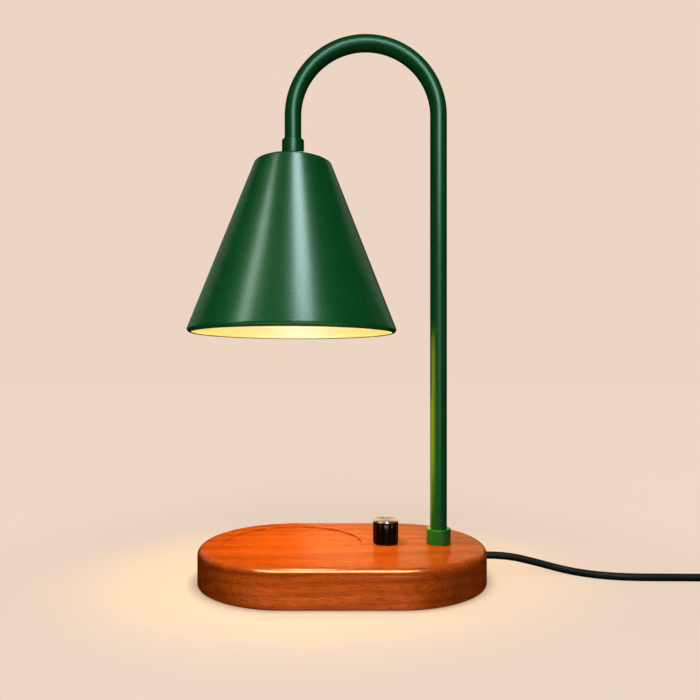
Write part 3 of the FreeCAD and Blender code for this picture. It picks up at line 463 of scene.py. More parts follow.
# %% Shade
shade_low, shade_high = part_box("shade")
AXIS_X = (shade_low[0] + shade_high[0]) / 2
SHADE_TOP = shade_high[2]
RIM_RADIUS = (shade_high[0] - shade_low[0]) / 2
WALL = 1.0 * MM
LIP_RADIUS, LIP_TURN = 2.0 * MM, 90.0
TOP_CORNER, SHOULDER = 22.8 * MM, 2.2 * MM
SHADE_HOLE = 5.2 * MM
SHOULDER_ROWS, CONE_ROWS, LIP_ROWS, CURL_ROWS = 9, 24, 17, 7
ROUND_COLUMNS = 256


def shade_profile():
    """Rows of (radius, height). The cone's line is tangent to the shoulder's and the lip's circles.

    The line leaves the top's corner at the angle to the lip's centre plus asin(lip radius / distance).
    """
    lip = np.array([RIM_RADIUS - LIP_RADIUS, shade_low[2] + LIP_RADIUS * math.sin(math.radians(LIP_TURN))])
    reach = lip - np.array([TOP_CORNER, SHADE_TOP])
    slope = math.atan2(reach[1], reach[0]) + math.asin(LIP_RADIUS / np.hypot(*reach))
    out = math.degrees(slope) + 90
    hub = (TOP_CORNER - SHOULDER * math.tan(-slope / 2), SHADE_TOP - SHOULDER)
    edge = arc(lip, LIP_RADIUS - WALL / 2, -LIP_TURN, -LIP_TURN, 1)[0]
    near_end = 0.001  # rows close to both ends of the cone keep its shading straight up to the curves
    cone_rows = np.concatenate([[near_end], np.linspace(0, 1, CONE_ROWS)[1:-1], [1 - near_end]])[:, None]

    def side(shoulder, lip_radius):
        """One side of the sheet, from the top down: the shoulder, the cone and the lip."""
        top = arc(hub, shoulder, 90, out, SHOULDER_ROWS)
        low = arc(lip, lip_radius, out, -LIP_TURN, LIP_ROWS)
        return np.concatenate([top, top[-1] + (low[0] - top[-1]) * cone_rows, low])

    outside = np.concatenate([[(SHADE_HOLE, SHADE_TOP)], side(SHOULDER, LIP_RADIUS)])
    inner_side = side(SHOULDER - WALL, LIP_RADIUS - WALL)[::-1]
    inside = np.concatenate([inner_side, [(SHADE_HOLE, SHADE_TOP - WALL)]])
    rolled = arc(edge, WALL / 2, -LIP_TURN, -LIP_TURN - 180, CURL_ROWS)[1:-1]
    return np.concatenate([outside, rolled, inside]), len(outside) + 2


profile, first_inside = shade_profile()
shade = skin("shade_skin", turned(profile, AXIS_X, ROUND_COLUMNS), closed_rows=True)
inner = np.repeat(np.arange(len(profile)) >= first_inside, ROUND_COLUMNS)
inner[-ROUND_COLUMNS:] = False
dress(shade, "base", "green_paint", [green_coat, cream_enamel], "shade")
shade.data.polygons.foreach_set("material_index", inner.astype(np.int32))

# %% [markdown]
# The arm is one steel tube, bent cold over a half circle. Its centre line is a post, an arch and a
# short drop, and a ring of points is carried along it. The ferrule and the collar are short turned
# rings with softened edges, coated with the same powder.

# %% Arm
arm_low, arm_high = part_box("arm_tube")
TUBE = 5.0 * MM
POST_X, DROP_X = arm_high[0] - TUBE, arm_low[0] + TUBE
ARCH = (POST_X - DROP_X) / 2
ARCH_Z = arm_high[2] - TUBE - ARCH
DROP_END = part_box("shade_nut")[0][2] - 0.5 * MM
TRIM_ROUND, TRIM_ROWS, TRIM_COLUMNS = 0.5 * MM, 7, 128
BORE_GAP = 0.05 * MM


def arm_grid(columns=96, bends=128):
    """A ring of radius TUBE at each row: up the post, over the arch by its angle, and down the drop.

    Outwards in the arm's own plane is (cos a, 0, sin a) at the arch's angle a, and the other way across
    the tube is +Y.
    """
    bend = np.linspace(0, math.pi, bends)
    angle = np.concatenate([[0.0], bend, [math.pi]])
    middle = (POST_X + DROP_X) / 2
    x = middle + ARCH * np.cos(angle)
    z = ARCH_Z + ARCH * np.sin(angle)
    z[0], z[-1] = arm_low[2], DROP_END
    centre = np.stack([x, np.zeros_like(x), z], axis=-1)
    outwards = np.stack([np.cos(angle), np.zeros_like(x), np.sin(angle)], axis=-1)
    turn = np.arange(columns) * (2 * math.pi / columns)
    sideways = np.array([0.0, 1.0, 0.0])
    ring = outwards[:, None] * np.cos(turn)[:, None] + sideways * np.sin(turn)[:, None]
    return centre[:, None] + TUBE * ring, centre[0], centre[-1]


grid, foot, end = arm_grid()
arm = skin("arm_skin", grid, low_pole=foot, high_pole=end)
dress(arm, "base", "green_paint", [smooth_coat], "arm_tube")


def trim_ring(node):
    """A turned ring on the tube, from its node's box, with both outer edges rounded off."""
    low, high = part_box(node)
    outer = (high[0] - low[0]) / 2
    inner = TUBE + BORE_GAP
    profile = np.concatenate([
        [(inner, low[2])],
        arc((outer - TRIM_ROUND, low[2] + TRIM_ROUND), TRIM_ROUND, -90, 0, TRIM_ROWS),
        arc((outer - TRIM_ROUND, high[2] - TRIM_ROUND), TRIM_ROUND, 0, 90, TRIM_ROWS),
        [(inner, high[2])],
    ])
    made = skin(node + "_skin", turned(profile, (low[0] + high[0]) / 2, TRIM_COLUMNS), closed_rows=True)
    dress(made, "base", "green_paint", [smooth_coat], node)
    return made


ferrule = trim_ring("base_ferrule")
collar = trim_ring("shade_collar")

# %% [markdown]
# The dimmer knob is moulded in glossy black ABS and has shallow hollow grips round it. Its side is a
# circle whose radius dips between the ribs, drawn at every height, and it closes in a small radius at
# the top and at the foot. ABS from a polished tool mirrors sharply but weakly, so it is black with thin
# bright lines.

# %% Knob
KNOB_FLUTES = 18
FLUTE_DEPTH = 0.25 * MM
POINTER_HALF, POINTER_DEPTH, POINTER_SLOPE = 0.4 * MM, 0.5 * MM, 0.15 * MM
knob_low, knob_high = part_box("knob_body")
cap_low, cap_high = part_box("knob_cap")
KNOB_X = (cap_low[0] + cap_high[0]) / 2


def knob_side(columns=720, soften=0.4 * MM):
    """Radius = outer radius - depth * (how far the angle is into a flute) - how far the end is rounded in.

    A flute's dip is 1 - |cos(half its angle)| to the power 4, which leaves narrow ribs with round tops. The
    pointer is a groove cut where the angle is within its half width of +X.
    """
    angle = np.arange(columns) * (2 * math.pi / columns)
    outer = (knob_high[1] - knob_low[1]) / 2
    dip = 1 - np.abs(np.cos(angle * KNOB_FLUTES / 2)) ** 4
    side = outer - FLUTE_DEPTH * dip
    off_pointer = np.abs(outer * np.sin(angle))
    groove = np.clip((POINTER_HALF - off_pointer) / POINTER_SLOPE, 0, 1) * (np.cos(angle) > 0)
    side = side + (outer - POINTER_DEPTH - side) * groove
    turn = np.linspace(0, math.pi / 2, 7)
    middle = np.linspace(knob_low[2] + soften, knob_high[2] - soften, 14)[1:-1]
    height = np.concatenate([
        knob_low[2] + soften * (1 - np.cos(turn)), middle, knob_high[2] - soften * (1 - np.sin(turn)),
    ])
    inset = np.concatenate([soften * (1 - np.sin(turn)), middle * 0, soften * (1 - np.cos(turn))])
    radius = side[None, :] - inset[:, None]
    x, y = KNOB_X + radius * np.cos(angle), radius * np.sin(angle)
    return np.stack([x, y, np.broadcast_to(height[:, None], x.shape)], axis=-1)


gloss_abs = material(
    "gloss_black_abs", plain, "#030303", "#060505", 2.0, (0.06, 0.12), 0.002,
    **{"Specular IOR Level": 0.08},
)
knob = skin(
    "knob_skin", knob_side(),
    low_pole=(KNOB_X, 0.0, knob_low[2]), high_pole=(KNOB_X, 0.0, knob_high[2]),
)
dress(knob, "knob", "black_knob", [gloss_abs], "knob_body")

# %% [markdown]
# A turned aluminium disc closes the knob. Its fine rings stretch a highlight into a bow across the
# centre, so the metal is given less gloss across its rings than along them. The direction along the
# rings is the U of the disc's UV map, which is its angle.

# %% Knob cap
def turned_aluminium(tree):
    """Bare aluminium, faced on a lathe: rings 0.12 mm apart, told by the distance from the centre in V."""
    uv = add(tree, "UVMap", uv_map="round")
    parts = add(tree, "SeparateXYZ", {"Vector": uv.outputs["UV"]})
    rings = add(
        tree, "TexNoise", {"W": parts.outputs["Y"], "Scale": 1 / 0.00012, "Detail": 3.0},
        noise_dimensions="1D",
    )
    colour = add(tree, "ValToRGB", {"Fac": rings.outputs["Fac"]}, stops=shades("#c9c6c2", "#e6e3de"))
    rough = add(tree, "MapRange", {
        "Value": rings.outputs["Fac"], **NOISE_SPAN, "To Min": 0.26, "To Max": 0.4,
    })
    along = add(tree, "Tangent", direction_type="UV_MAP", uv_map="round")
    bump = add(tree, "Bump", {"Height": rings.outputs["Fac"], "Strength": 0.3, "Distance": 0.004 * MM})
    return {
        "Base Color": colour.outputs["Color"],
        "Metallic": 1.0,
        "Roughness": rough.outputs["Result"],
        "Anisotropic": 0.95,
        "Anisotropic Rotation": 0.25,
        "Tangent": along.outputs["Tangent"],
        "Normal": bump.outputs["Normal"],
    }


CHAMFER = 0.45 * MM
CAP_FOOT = 0.1 * MM
CAP_COLUMNS = 192
HOLLOW = 0.05 * MM  # the tool leaves the face this much lower in the middle
cap_rim, cap_top = (cap_high[0] - cap_low[0]) / 2, cap_high[2]
cap_rows = np.array([
    (cap_rim - CAP_FOOT, cap_low[2]),
    (cap_rim, cap_low[2] + CAP_FOOT),
    (cap_rim, cap_top - CHAMFER - 0.05 * MM),
    (cap_rim - 0.05 * MM, cap_top - CHAMFER),
    (cap_rim - CHAMFER, cap_top - 0.03 * MM),
    (cap_rim - CHAMFER - 0.08 * MM, cap_top),
    (cap_rim - 1.2 * MM, cap_top - 0.02 * MM),
    (0.4 * MM, cap_top - HOLLOW),
])
cap = skin(
    "knob_cap_skin", turned(cap_rows, KNOB_X, CAP_COLUMNS),
    low_pole=(KNOB_X, 0.0, cap_low[2]), high_pole=(KNOB_X, 0.0, cap_top - HOLLOW),
)
aluminium = material("turned_aluminium", turned_aluminium)
dress(cap, "knob", "spun_aluminium", [aluminium], "knob_cap")

# %% [markdown]
# The remaining solids already have their right shape, so they only get finishes. The bracket and the
# cover are galvanised sheet: the hot zinc freezes in crystals, and each mirrors a little differently.

# %% Zinc-plated sheet
def spangled_zinc(tree):
    """Galvanised sheet: zinc crystals about 7 mm across, each a slightly other grey and gloss."""
    place = add(tree, "TexCoord").outputs["Object"]
    crystals = add(tree, "TexVoronoi", {"Vector": place, "Scale": 1 / 0.007})
    parts = add(tree, "SeparateColor", {"Color": crystals.outputs["Color"]})
    colour = add(
        tree, "ValToRGB", {"Fac": parts.outputs["Red"]},
        stops=[(0.0, linear("#a5a8ab")), (1.0, linear("#c9cccd"))],
    )
    rough = add(tree, "MapRange", {"Value": parts.outputs["Green"], "To Min": 0.3, "To Max": 0.48})
    grain = add(tree, "TexNoise", {"Vector": place, "Scale": 1 / 0.0006, "Detail": 2.0})
    bump = add(tree, "Bump", {"Height": grain.outputs["Fac"], "Strength": 0.1, "Distance": 0.02 * MM})
    return {
        "Base Color": colour.outputs["Color"], "Metallic": 1.0,
        "Roughness": rough.outputs["Result"], "Normal": bump.outputs["Normal"],
    }


zinc = material("galvanised_sheet_steel", spangled_zinc)
print("material:", zinc.name)

# %% [markdown]
# The pad under the base is EVA foam. The knife that cuts it opens its cells, and small pits without any
# gloss are what the eye sees.

# %% Foam pad
def closed_cell_foam(tree):
    """Black EVA foam, cut by a knife: cells 0.7 mm across leave small open pits."""
    place = add(tree, "TexCoord").outputs["Object"]
    cells = add(tree, "TexVoronoi", {"Vector": place, "Scale": 1 / 0.0007})
    colour = add(
        tree, "ValToRGB", {"Fac": cells.outputs["Distance"]},
        stops=[(0.0, linear("#141414")), (0.6, linear("#2b2a2a"))],
    )
    bump = add(tree, "Bump", {"Height": cells.outputs["Distance"], "Strength": 0.7, "Distance": 0.2 * MM})
    return {"Base Color": colour.outputs["Color"], "Roughness": 0.92, "Normal": bump.outputs["Normal"]}


foam = material("closed_cell_eva_foam", closed_cell_foam)
print("material:", foam.name)

# %% [markdown]
# The bulb's front glass is pressed with ripples that spread the beam. With the filament lit behind it,
# the glass itself seems to glow, so it is a shiny surface whose own light varies with the ripples.

# %% Lit glass
def lit_glass(tree, glow, strength, ripple_mm):
    """Glass over a filament: the glow falls to half between the ripples, which are also its bump."""
    place = add(tree, "TexCoord").outputs["Object"]
    ripples = add(tree, "TexVoronoi", {"Vector": place, "Scale": 1 / (ripple_mm * MM)})
    level = add(tree, "MapRange", {
        "Value": ripples.outputs["Distance"], "From Max": 0.8, "To Min": strength, "To Max": 0.5 * strength,
    })
    bump = add(tree, "Bump", {"Height": ripples.outputs["Distance"], "Strength": 0.5, "Distance": 0.3 * MM})
    return {
        "Base Color": linear("#fff4e0"),
        "Roughness": 0.12,
        "IOR": 1.5,
        "Emission Color": linear(glow),
        "Emission Strength": level.outputs["Result"],
        "Normal": bump.outputs["Normal"],
    }


front_glass = material("lit_front_glass", lit_glass, "#ffd9a0", 2.0, 2.2)
capsule_glass = material("lit_halogen_capsule", lit_glass, "#ffe2b4", 12.0, 3.0)
print("materials:", front_glass.name, capsule_glass.name)

# %% [markdown]
# Each slot of the record has its own finish. The lists give two near colours, the grain in mm, the span
# of the roughness and the relief in mm. Plated, rolled and stamped metal mirrors in its own colour, and
# varnish takes a little of that from the copper wire. Ceramic, nylon and silicone are pale and scatter
# the light, and the resins, the rubber and the vinyl are half matt.

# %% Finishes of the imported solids
finishes = {
    "wood": wood, "green_paint": green_coat, "black_knob": gloss_abs, "galvanised_steel": zinc,
    "pad_foam": foam, "lens_glass": front_glass, "capsule_glass": capsule_glass,
}
BARE_METAL = {
    "zinc_screws": ("zinc_plated_screws", "#b4b2a6", "#cfcdc4", 3.0, (0.22, 0.36), 0.01),
    "spring_brass": ("rolled_spring_brass", "#b7964e", "#d0b060", 4.0, (0.22, 0.34), 0.01),
    "pin_metal": ("nickel_plated_pins", "#bdb9b0", "#d3d0c8", 2.0, (0.18, 0.3), 0.005),
    "reflector_glass": ("aluminised_reflector_glass", "#cfcac0", "#e4dfd4", 4.0, (0.12, 0.22), 0.02),
    "pot_metal": ("stamped_steel", "#a9a9a6", "#c0c0bc", 3.0, (0.3, 0.42), 0.01),
    "nickel_brass": ("nickel_plated_brass", "#c9c2ac", "#dad4c2", 3.0, (0.16, 0.28), 0.006),
}
VARNISHED_METAL = {
    "choke_wire": ("enamelled_copper_wire", "#8a4526", "#a85a32", 0.8, (0.2, 0.32), 0.06),
}
NO_METAL = {
    "white_ceramic": ("unglazed_steatite", "#e2ddd0", "#f2efe6", 1.2, (0.5, 0.65), 0.04),
    "lead_sleeve": ("silicone_sleeve", "#d6cfc2", "#e6e0d4", 2.0, (0.45, 0.6), 0.03),
    "board_resin": ("glass_fibre_board", "#1a4a2a", "#24603a", 0.8, (0.35, 0.5), 0.02),
    "pale_nylon": ("natural_nylon", "#d8d5cb", "#e6e3da", 2.0, (0.4, 0.52), 0.02),
    "capacitor_case": ("dipped_film_capacitor", "#b88a1f", "#cb9a28", 1.5, (0.3, 0.42), 0.04),
    "black_resin": ("moulded_epoxy", "#1a1a1a", "#242424", 0.6, (0.5, 0.62), 0.02),
    "terminal_plastic": ("moulded_polyamide", "#1c5a38", "#246a44", 1.2, (0.38, 0.5), 0.02),
    "black_rubber": ("moulded_black_rubber", "#1b1b1b", "#262625", 0.9, (0.6, 0.75), 0.03),
    "black_tie": ("black_nylon_tie", "#161616", "#202020", 1.0, (0.4, 0.52), 0.02),
    "black_plug": ("moulded_black_vinyl", "#1a1a1a", "#232323", 0.8, (0.42, 0.56), 0.03),
}
for group, metallic in ((BARE_METAL, 1.0), (VARNISHED_METAL, 0.8), (NO_METAL, 0.0)):
    for slot, (name, *look) in group.items():
        finishes[slot] = material(name, plain, *look, Metallic=metallic)
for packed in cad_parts.values():
    for place in packed.material_slots:
        slot = place.material.name.split(".")[0]
        if slot in finishes:
            place.material = finishes[slot]
print("finishes:", len(finishes))

# %% [markdown]
# The cord is extruded soft vinyl. Its skin is matt with a faint grain, so it is a soft dark line with
# only a dull shine on top.

# %% Cord vinyl
cord_vinyl = material(
    "matt_black_cord_vinyl", plain, "#0e0e0d", "#191817", 1.2, (0.48, 0.62), 0.03,
    **{"Specular IOR Level": 0.3},
)
cord.data.materials.append(cord_vinyl)
print("cord:", cord_vinyl.name)

# %% [markdown]
# The lamp stands on a wide sheet of pale paper before a backdrop of the same colour, so no line shows
# where the paper ends. Both glow a little by themselves, like paper lit from behind, which keeps them
# even. Two marks of light are painted into the sheet's glow: a painted contact shadow, darker where the
# base touches the sheet, and a painted pool of the bulb's light, warmer and brighter round the lamp.

# %% Glow of the paper
# The second colour is painted light: the warm pool of the bulb's light on the sheet.
PAPER, PAINTED_POOL_COLOUR = "#edd5c3", "#ffdcb8"
GLOW_REACH = 2.6
GLOW = [  # distance from the lamp, and the glow there
    (0.0, 0.76), (0.2, 0.775), (0.3, 0.835), (0.5, 0.86), (1.0, 0.885), (1.5, 0.91), (2.1, 0.92),
    (GLOW_REACH, 0.93),
]
# A painted pool of light: an ellipse round the lamp where the glow is painted warmer and brighter.
PAINTED_POOL_CENTRE, PAINTED_POOL_HALF = (-10 * MM, 16 * MM, 0.0), (150 * MM, 110 * MM, 1.0)
PAINTED_POOL_INSIDE, PAINTED_POOL_OUTSIDE = 0.72, 1.32  # where the pool starts to fade and ends, in shares of its half size
PAINTED_POOL_LIFT = 0.04
# A painted contact shadow: the glow is painted darker within a few millimetres of the base's outline.
PAINTED_SHADOW_GLOW = 0.35
PAINTED_SHADOW_INSIDE, PAINTED_SHADOW_OUTSIDE, PAINTED_SHADOW_BACK = 3 * MM, 9 * MM, 5 * MM
base_low, base_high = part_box("wood_block")
BASE_HALF_WIDTH = (base_high[1] - base_low[1]) / 2
BASE_MIDDLE = (base_low[0] + base_high[0]) / 2
BASE_STRAIGHT = (base_high[0] - base_low[0]) / 2 - BASE_HALF_WIDTH


def length_after(tree, vector, *steps):
    """The length of a vector after some steps, each an operation and its operand."""
    for operation, operand in steps:
        vector = add(tree, "VectorMath", {0: vector, 1: operand}, operation=operation).outputs["Vector"]
    return add(tree, "VectorMath", {0: vector}, operation="LENGTH").outputs["Value"]


def lamp_surroundings(tree, place):
    """The paper's glow near the lamp, as a colour and a strength.

    The strength makes up for the boxes, whose light fades from 0.2 m to 2.6 m away. Inside an ellipse a
    painted pool of the bulb's light warms the colour and lifts the strength. Close to the base a painted
    contact shadow lowers the strength: the distance to its outline is that to the line between its two
    round ends, less half its width. Behind the base the painted shadow starts a little further out.
    """
    level = add(
        tree, "ValToRGB", {"Fac": length_after(tree, place, ("DIVIDE", (GLOW_REACH,) * 3))},
        stops=[(away / GLOW_REACH, (glow, glow, glow, 1.0)) for away, glow in GLOW],
    )
    # painted pool of the bulb's light: warmer colour and more glow inside the ellipse
    reach = length_after(tree, place, ("SUBTRACT", PAINTED_POOL_CENTRE), ("DIVIDE", PAINTED_POOL_HALF))
    painted_pool_fade = {"Value": reach, "From Min": PAINTED_POOL_INSIDE, "From Max": PAINTED_POOL_OUTSIDE, "To Min": 1.0, "To Max": 0.0}
    painted_pool = add(tree, "MapRange", painted_pool_fade, interpolation_type="SMOOTHSTEP").outputs["Result"]
    colours = {"Factor": painted_pool, 6: linear(PAPER), 7: linear(PAINTED_POOL_COLOUR)}
    colour = add(tree, "Mix", colours, data_type="RGBA").outputs[2]
    # painted contact shadow: less glow close to the base's outline
    gap = length_after(
        tree, place,
        ("SUBTRACT", (BASE_MIDDLE, PAINTED_SHADOW_BACK, 0.0)), ("ABSOLUTE", (0.0, 0.0, 0.0)),
        ("SUBTRACT", (BASE_STRAIGHT, 0.0, 0.0)), ("MAXIMUM", (0.0, 0.0, 0.0)),
    )
    inside, outside = BASE_HALF_WIDTH - PAINTED_SHADOW_INSIDE, BASE_HALF_WIDTH + PAINTED_SHADOW_OUTSIDE
    painted_shadow_rise = {"Value": gap, "From Min": inside, "From Max": outside, "To Min": PAINTED_SHADOW_GLOW, "To Max": 1.0}
    painted_shadow = add(tree, "MapRange", painted_shadow_rise, interpolation_type="SMOOTHSTEP").outputs["Result"]
    painted_lift = add(tree, "Math", {0: painted_pool, 1: PAINTED_POOL_LIFT, 2: 1.0}, operation="MULTIPLY_ADD").outputs["Value"]
    strength = level.outputs["Color"]
    for factor in (painted_shadow, painted_lift):
        strength = add(tree, "Math", {0: strength, 1: factor}, operation="MULTIPLY").outputs["Value"]
    return colour, strength


def paper(tree, albedo, near_lamp):
    """Matt paper with a faint tooth of 0.8 mm, and a share of its brightness that doesn't need a lamp."""
    place = add(tree, "TexCoord").outputs["Object"]
    colour, glow = lamp_surroundings(tree, place) if near_lamp else (linear(PAPER), 1.0)
    tooth = add(tree, "TexNoise", {"Vector": place, "Scale": 1 / 0.0008, "Detail": 2.0})
    bump = add(tree, "Bump", {"Height": tooth.outputs["Fac"], "Strength": 0.2, "Distance": 0.05 * MM})
    return {
        "Base Color": (albedo, albedo, albedo, 1.0),
        "Roughness": 1.0,
        "Specular IOR Level": 0.0,
        "Emission Color": colour,
        "Emission Strength": glow,
        "Normal": bump.outputs["Normal"],
    }


# %% [markdown]
# The sheet is a plain square and the backdrop a wide ball round everything. They are seen by the camera
# only, so the lamp mirrors the boxes and not the studio, and a faint even world fills its shadows.

# %% Floor, backdrop and world
PAPER_ALBEDO = 0.36
REACH = 9.0
WORLD_LEVEL = 0.22


def stage_piece(name, mesh, finish):
    """A piece of the studio, not of the lamp."""
    mesh.materials.append(finish)
    made = placed(name, mesh)
    made.visible_diffuse = made.visible_glossy = made.visible_transmission = False
    return made


sheet = bpy.data.meshes.new("floor")
corners = [(-REACH, -REACH, 0.0), (REACH, -REACH, 0.0), (REACH, REACH, 0.0), (-REACH, REACH, 0.0)]
sheet.from_pydata(corners, [], [(0, 1, 2, 3)])
stage_piece("floor", sheet, material("matt_floor_paper", paper, PAPER_ALBEDO, near_lamp=True))

ball = bmesh.new()
bmesh.ops.create_icosphere(ball, subdivisions=5, radius=REACH)
round_wall = bpy.data.meshes.new("backdrop")
ball.to_mesh(round_wall)
ball.free()
backdrop_paper = material("backdrop_paper", paper, 0.0, near_lamp=False)
backdrop = stage_piece("backdrop", round_wall, backdrop_paper)
backdrop.visible_shadow = False

world = bpy.data.worlds.new("studio")
bpy.context.scene.world = world
world.use_nodes = True
air = world.node_tree.nodes["Background"]
air.inputs["Color"].default_value = linear(PAPER)
air.inputs["Strength"].default_value = WORLD_LEVEL
world.cycles_visibility.glossy = False
bpy.context.scene.view_settings.view_transform = "Standard"
print("studio pieces: floor,", backdrop.name)

# %% [markdown]
# The lamp is lit by soft boxes, which are area lights that stand round it and face it. A glossy coat shows
# where a box is, and a matt one only how much light comes, so a box can do one without the other. And each
# can be kept to some pieces, because the shade, the tube, the wood and the knob want different boxes.

# %% Soft boxes
AIM = (-0.01, 0.0, 0.17)
MATT_ONLY = dict(glossy=False, matt=True)  # for light that nothing mirrors


def shine_on(light, only=(), never=()):
    """Keeps a light to some pieces, or off some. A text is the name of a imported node."""
    pieces, state = (only, "INCLUDE") if only else (never, "EXCLUDE")
    if not pieces:
        return
    group = bpy.data.collections.new(light.name + "_receivers")
    for piece in pieces:
        group.objects.link(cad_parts[piece] if isinstance(piece, str) else piece)
    for entry in group.collection_objects:
        entry.light_linking.link_state = state
    light.light_linking.receiver_collection = group


def lamp_light(name, kind, place, power, colour):
    """A light at a place, which the camera doesn't see, and its data."""
    data = bpy.data.lights.new(name, kind)
    data.energy = power
    data.color = linear(colour)[:3]
    light = placed(name, data)
    light.location = place
    light.visible_camera = False
    return light, data


def softbox(
    name, azimuth, elevation, distance, size, radiance, colour,
    glossy=True, matt=False, aim=AIM, spread=180, only=(), never=(),
):
    """A box that faces its aim. Azimuth 0 is on the camera's side, 90 is on +X, and angles are in degrees.

    Power = radiance * pi * area, which keeps a box as bright when its size changes.
    """
    a, e = math.radians(azimuth), math.radians(elevation)
    away = np.array([math.sin(a) * math.cos(e), -math.cos(a) * math.cos(e), math.sin(e)])
    power = radiance * math.pi * size[0] * size[1]
    box, data = lamp_light(name, "AREA", aim + distance * away, power, colour)
    data.shape = "RECTANGLE"
    data.size, data.size_y = size
    data.spread = math.radians(spread)
    box.rotation_euler = Vector(away).to_track_quat("Z", "Y").to_euler()
    box.visible_glossy = glossy
    box.visible_diffuse = matt
    shine_on(box, only, never)
    return box


# %% [markdown]
# On the shade, a bright box high on the right draws the wide highlight down the cone and a narrower one on
# the left draws the second. Each has a dim foot that carries it on to the rim. Two walls behind edge the
# cone, and a low light keeps the rolled rim from going dark. The lights without gloss set how bright the
# coats are beside their highlights.

# %% Light on the shade
pipework = (arm, ferrule, collar)
off_shade = ("wood_block", *pipework)
softbox("wide_box", 18, 56, 1.1, (0.27, 0.5), 18.5, "#dbfbff", never=off_shade)
softbox("left_box", -57, 43, 1.1, (0.14, 0.45), 12.5, "#e6fff0", never=off_shade)
softbox("wide_foot", 18, 22, 1.1, (0.25, 0.6), 2.2, "#dbfbff", never=off_shade)
softbox("left_foot", -60, 18, 1.1, (0.22, 0.6), 1.8, "#e6fff0", never=off_shade)
softbox("front_box", 13, -2, 1.3, (0.45, 0.35), 2.4, "#e6fff6")
softbox("side_wall_right", 138, 20, 1.4, (0.9, 0.9), 0.3, "#d8ffdc", never=pipework)
softbox("side_wall_left", -138, 20, 1.4, (0.9, 0.9), 0.3, "#d8ffdc", never=pipework)
softbox("lip_light", 0, -32, 0.28, (0.6, 0.1), 1.8, "#e6ffd8", matt=True, only=[shade])
softbox("rear_box", 168, 48, 1.1, (0.4, 0.5), 5.0, "#f0fff0", only=[shade])
softbox("rear_fill", 180, 25, 1.2, (0.8, 0.8), 3.0, "#fff0e0", only=[shade, *pipework], **MATT_ONLY)
softbox("key_box", -6, 28, 1.2, (0.9, 0.9), 2.6, "#fff0e0", never=["wood_block"], **MATT_ONLY)
softbox("top_box", 60, 72, 1.4, (1.0, 1.0), 0.9, "#fff0e0", **MATT_ONLY)
print("lights so far:", len(bpy.data.lights))

# %% [markdown]
# The lacquered wood mirrors a pale wall behind it, and a warm box overhead draws the bright line along its
# rounded edge. Matt lights give the top and the front their own levels, since the sheet below, which would
# light the front, can't be seen by the wood.

# %% Light on the wood
on_wood = dict(MATT_ONLY, only=["wood_block"])
LOW_AIM = (-0.006, -0.054, 0.009)
BOUNCE_AT = (-0.015, -0.072, 0.0005)
SEAT_AIM = (0.035, -0.04, 0.022)
EDGE_AIM = (-0.1, 0.0, 0.17)
softbox("back_wall", 162, 11, 1.6, (1.3, 0.4), 0.7, "#ffde98", only=["wood_block"])
softbox("edge_box", 0, 75, 1.1, (0.9, 0.6), 50.0, "#ffce88", aim=EDGE_AIM, only=["wood_block"])
softbox("wood_key", 180, 62, 1.2, (0.8, 0.8), 2.6, "#ffe6d0", **on_wood)
softbox("wood_rear", 180, 0, 1.2, (0.8, 0.3), 4.0, "#fff0e0", **on_wood)
softbox("low_key", 0, -2, 0.1, (0.09, 0.012), 4.3, "#fff0dc", aim=LOW_AIM, **on_wood)
softbox("floor_bounce", 0, -90, 0.0, (0.12, 0.03), 1.5, "#ffe8cc", aim=BOUNCE_AT, **on_wood)
softbox("seat_key", 0, 90, 0.12, (0.08, 0.05), 4.3, "#ffe0c0", aim=SEAT_AIM, **on_wood)
print("lights so far:", len(bpy.data.lights))

# %% [markdown]
# The tube has one soft highlight along it. A candle on the seat would throw a yellow glow on the side of
# the post that faces it, so small yellow lights without a body stand beside the post and its ferrule.

# %% Light on the arm
POST_AIM, FOOT_AIM, RING_AIM = [(POST_X, 0.0, z) for z in (0.1, 0.06, 0.03)]
FLAME = (8 * MM, -15 * MM, 52 * MM)


def glowing_ball(name, place, radius, radiance, colour, only):
    """A round light. A ball of radius r and radiance L gives 4 * pi^2 * r^2 * L watts."""
    ball, data = lamp_light(name, "POINT", place, 4 * (math.pi * radius) ** 2 * radiance, colour)
    data.shadow_soft_size = radius
    shine_on(ball, only)
    return ball


softbox("arm_box", 8, 30, 1.2, (0.6, 0.45), 11.0, "#b8fff2", only=pipework)
beside_post = dict(spread=75, only=pipework)
softbox("post_glow", -84, 0, 0.08, (0.09, 0.09), 0.9, "#ffea2c", matt=True, aim=POST_AIM, **beside_post)
softbox("post_edge", -122, 0, 0.08, (0.1, 0.09), 0.42, "#ffea2c", aim=FOOT_AIM, **beside_post)
flame_glow = glowing_ball("flame_glow", FLAME, 12 * MM, 12.0, "#ffe42c", pipework)
flame_glow.visible_glossy = False
softbox("ring_light", 180, 14, 0.3, (0.1, 0.06), 6.0, "#e4ff78", aim=RING_AIM, only=[ferrule])
softbox("ring_fill", -35, 58, 0.1, (0.07, 0.07), 9.0, "#ecff58", matt=True, aim=RING_AIM, only=[ferrule])
print("lights so far:", len(bpy.data.lights))

# %% [markdown]
# The knob's cap mirrors a warm wall, and one small bright box stretches into the bow across its rings. A
# narrow strip in front draws the lines between the flutes. Nothing but the knob may cast a shadow in the
# strip's light, because it stands so close.

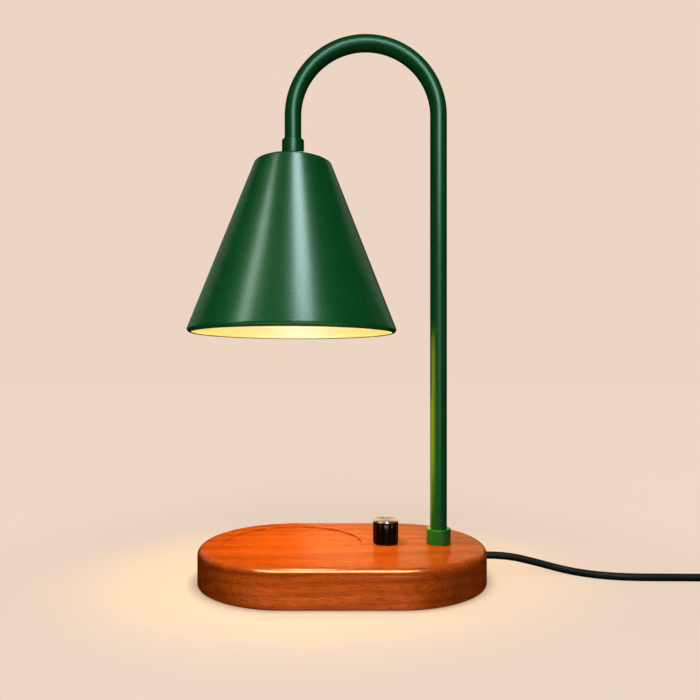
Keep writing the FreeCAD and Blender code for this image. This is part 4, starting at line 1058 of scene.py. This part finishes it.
# %% Light on the knob
KNOB_AIM = (KNOB_X, knob_low[1], (knob_low[2] + knob_high[2]) / 2)
softbox("cap_wall", 180, 14, 1.6, (3.0, 0.9), 1.15, "#ffd4ae", only=[cap])
softbox("cap_light", -90, 78, 0.6, (0.07, 0.07), 60.0, "#ffd8a8", only=[cap])
knob_strip = softbox("knob_strip", 6, -13.7, 0.06, (0.04, 0.02), 25.0, "#fff0e0", aim=KNOB_AIM, only=[knob])
knob_strip.light_linking.blocker_collection = knob_strip.light_linking.receiver_collection
print("lights so far:", len(bpy.data.lights))

# %% [markdown]
# The bulb's own light leaves its front glass. Its reflector gathers it into a warm beam on the sheet and
# the seat, and the glass itself glows more widely, which lights the inside of the shade. A weak cool light
# near the far wall keeps the enamel there from turning too yellow.

# %% Bulb light
lens_low, lens_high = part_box("bulb_lens")
DISC = 0.85 * (lens_high[0] - lens_low[0])  # the lit part of the glass
GLOW_RADIUS = 9 * MM
GLOW_Z = lens_low[2] - 12 * MM
FAR_WALL_Y = 42 * MM


def bulb_light(name, radiance, colour, spread, only=(), never=()):
    """A disc of light below the glass. Power = radiance * pi * area, and the spread is its full angle."""
    place = (AXIS_X, 0.0, lens_low[2] - 0.5 * MM)
    disc, data = lamp_light(name, "AREA", place, radiance * math.pi * math.pi * DISC**2 / 4, colour)
    data.shape = "DISK"
    data.size = DISC
    data.spread = math.radians(spread)
    shine_on(disc, only, never)


bulb_light("bulb_beam", 9.0, "#ffd98c", 75, never=["wood_block", cap])
bulb_light("seat_beam", 20.0, "#ffd8a0", 90, only=["wood_block"])
glowing_ball("bulb_glow", (AXIS_X, 0.0, GLOW_Z), GLOW_RADIUS, 31.0, "#ffdb62", [shade])
glowing_ball("wall_glow", (AXIS_X, FAR_WALL_Y, GLOW_Z), GLOW_RADIUS, 4.2, "#a0a0ff", [shade])
print("lights:", len(bpy.data.lights))

# %% [markdown]
# The last line brings every object's place up to date.

# %% Update the scene
bpy.context.view_layer.update()
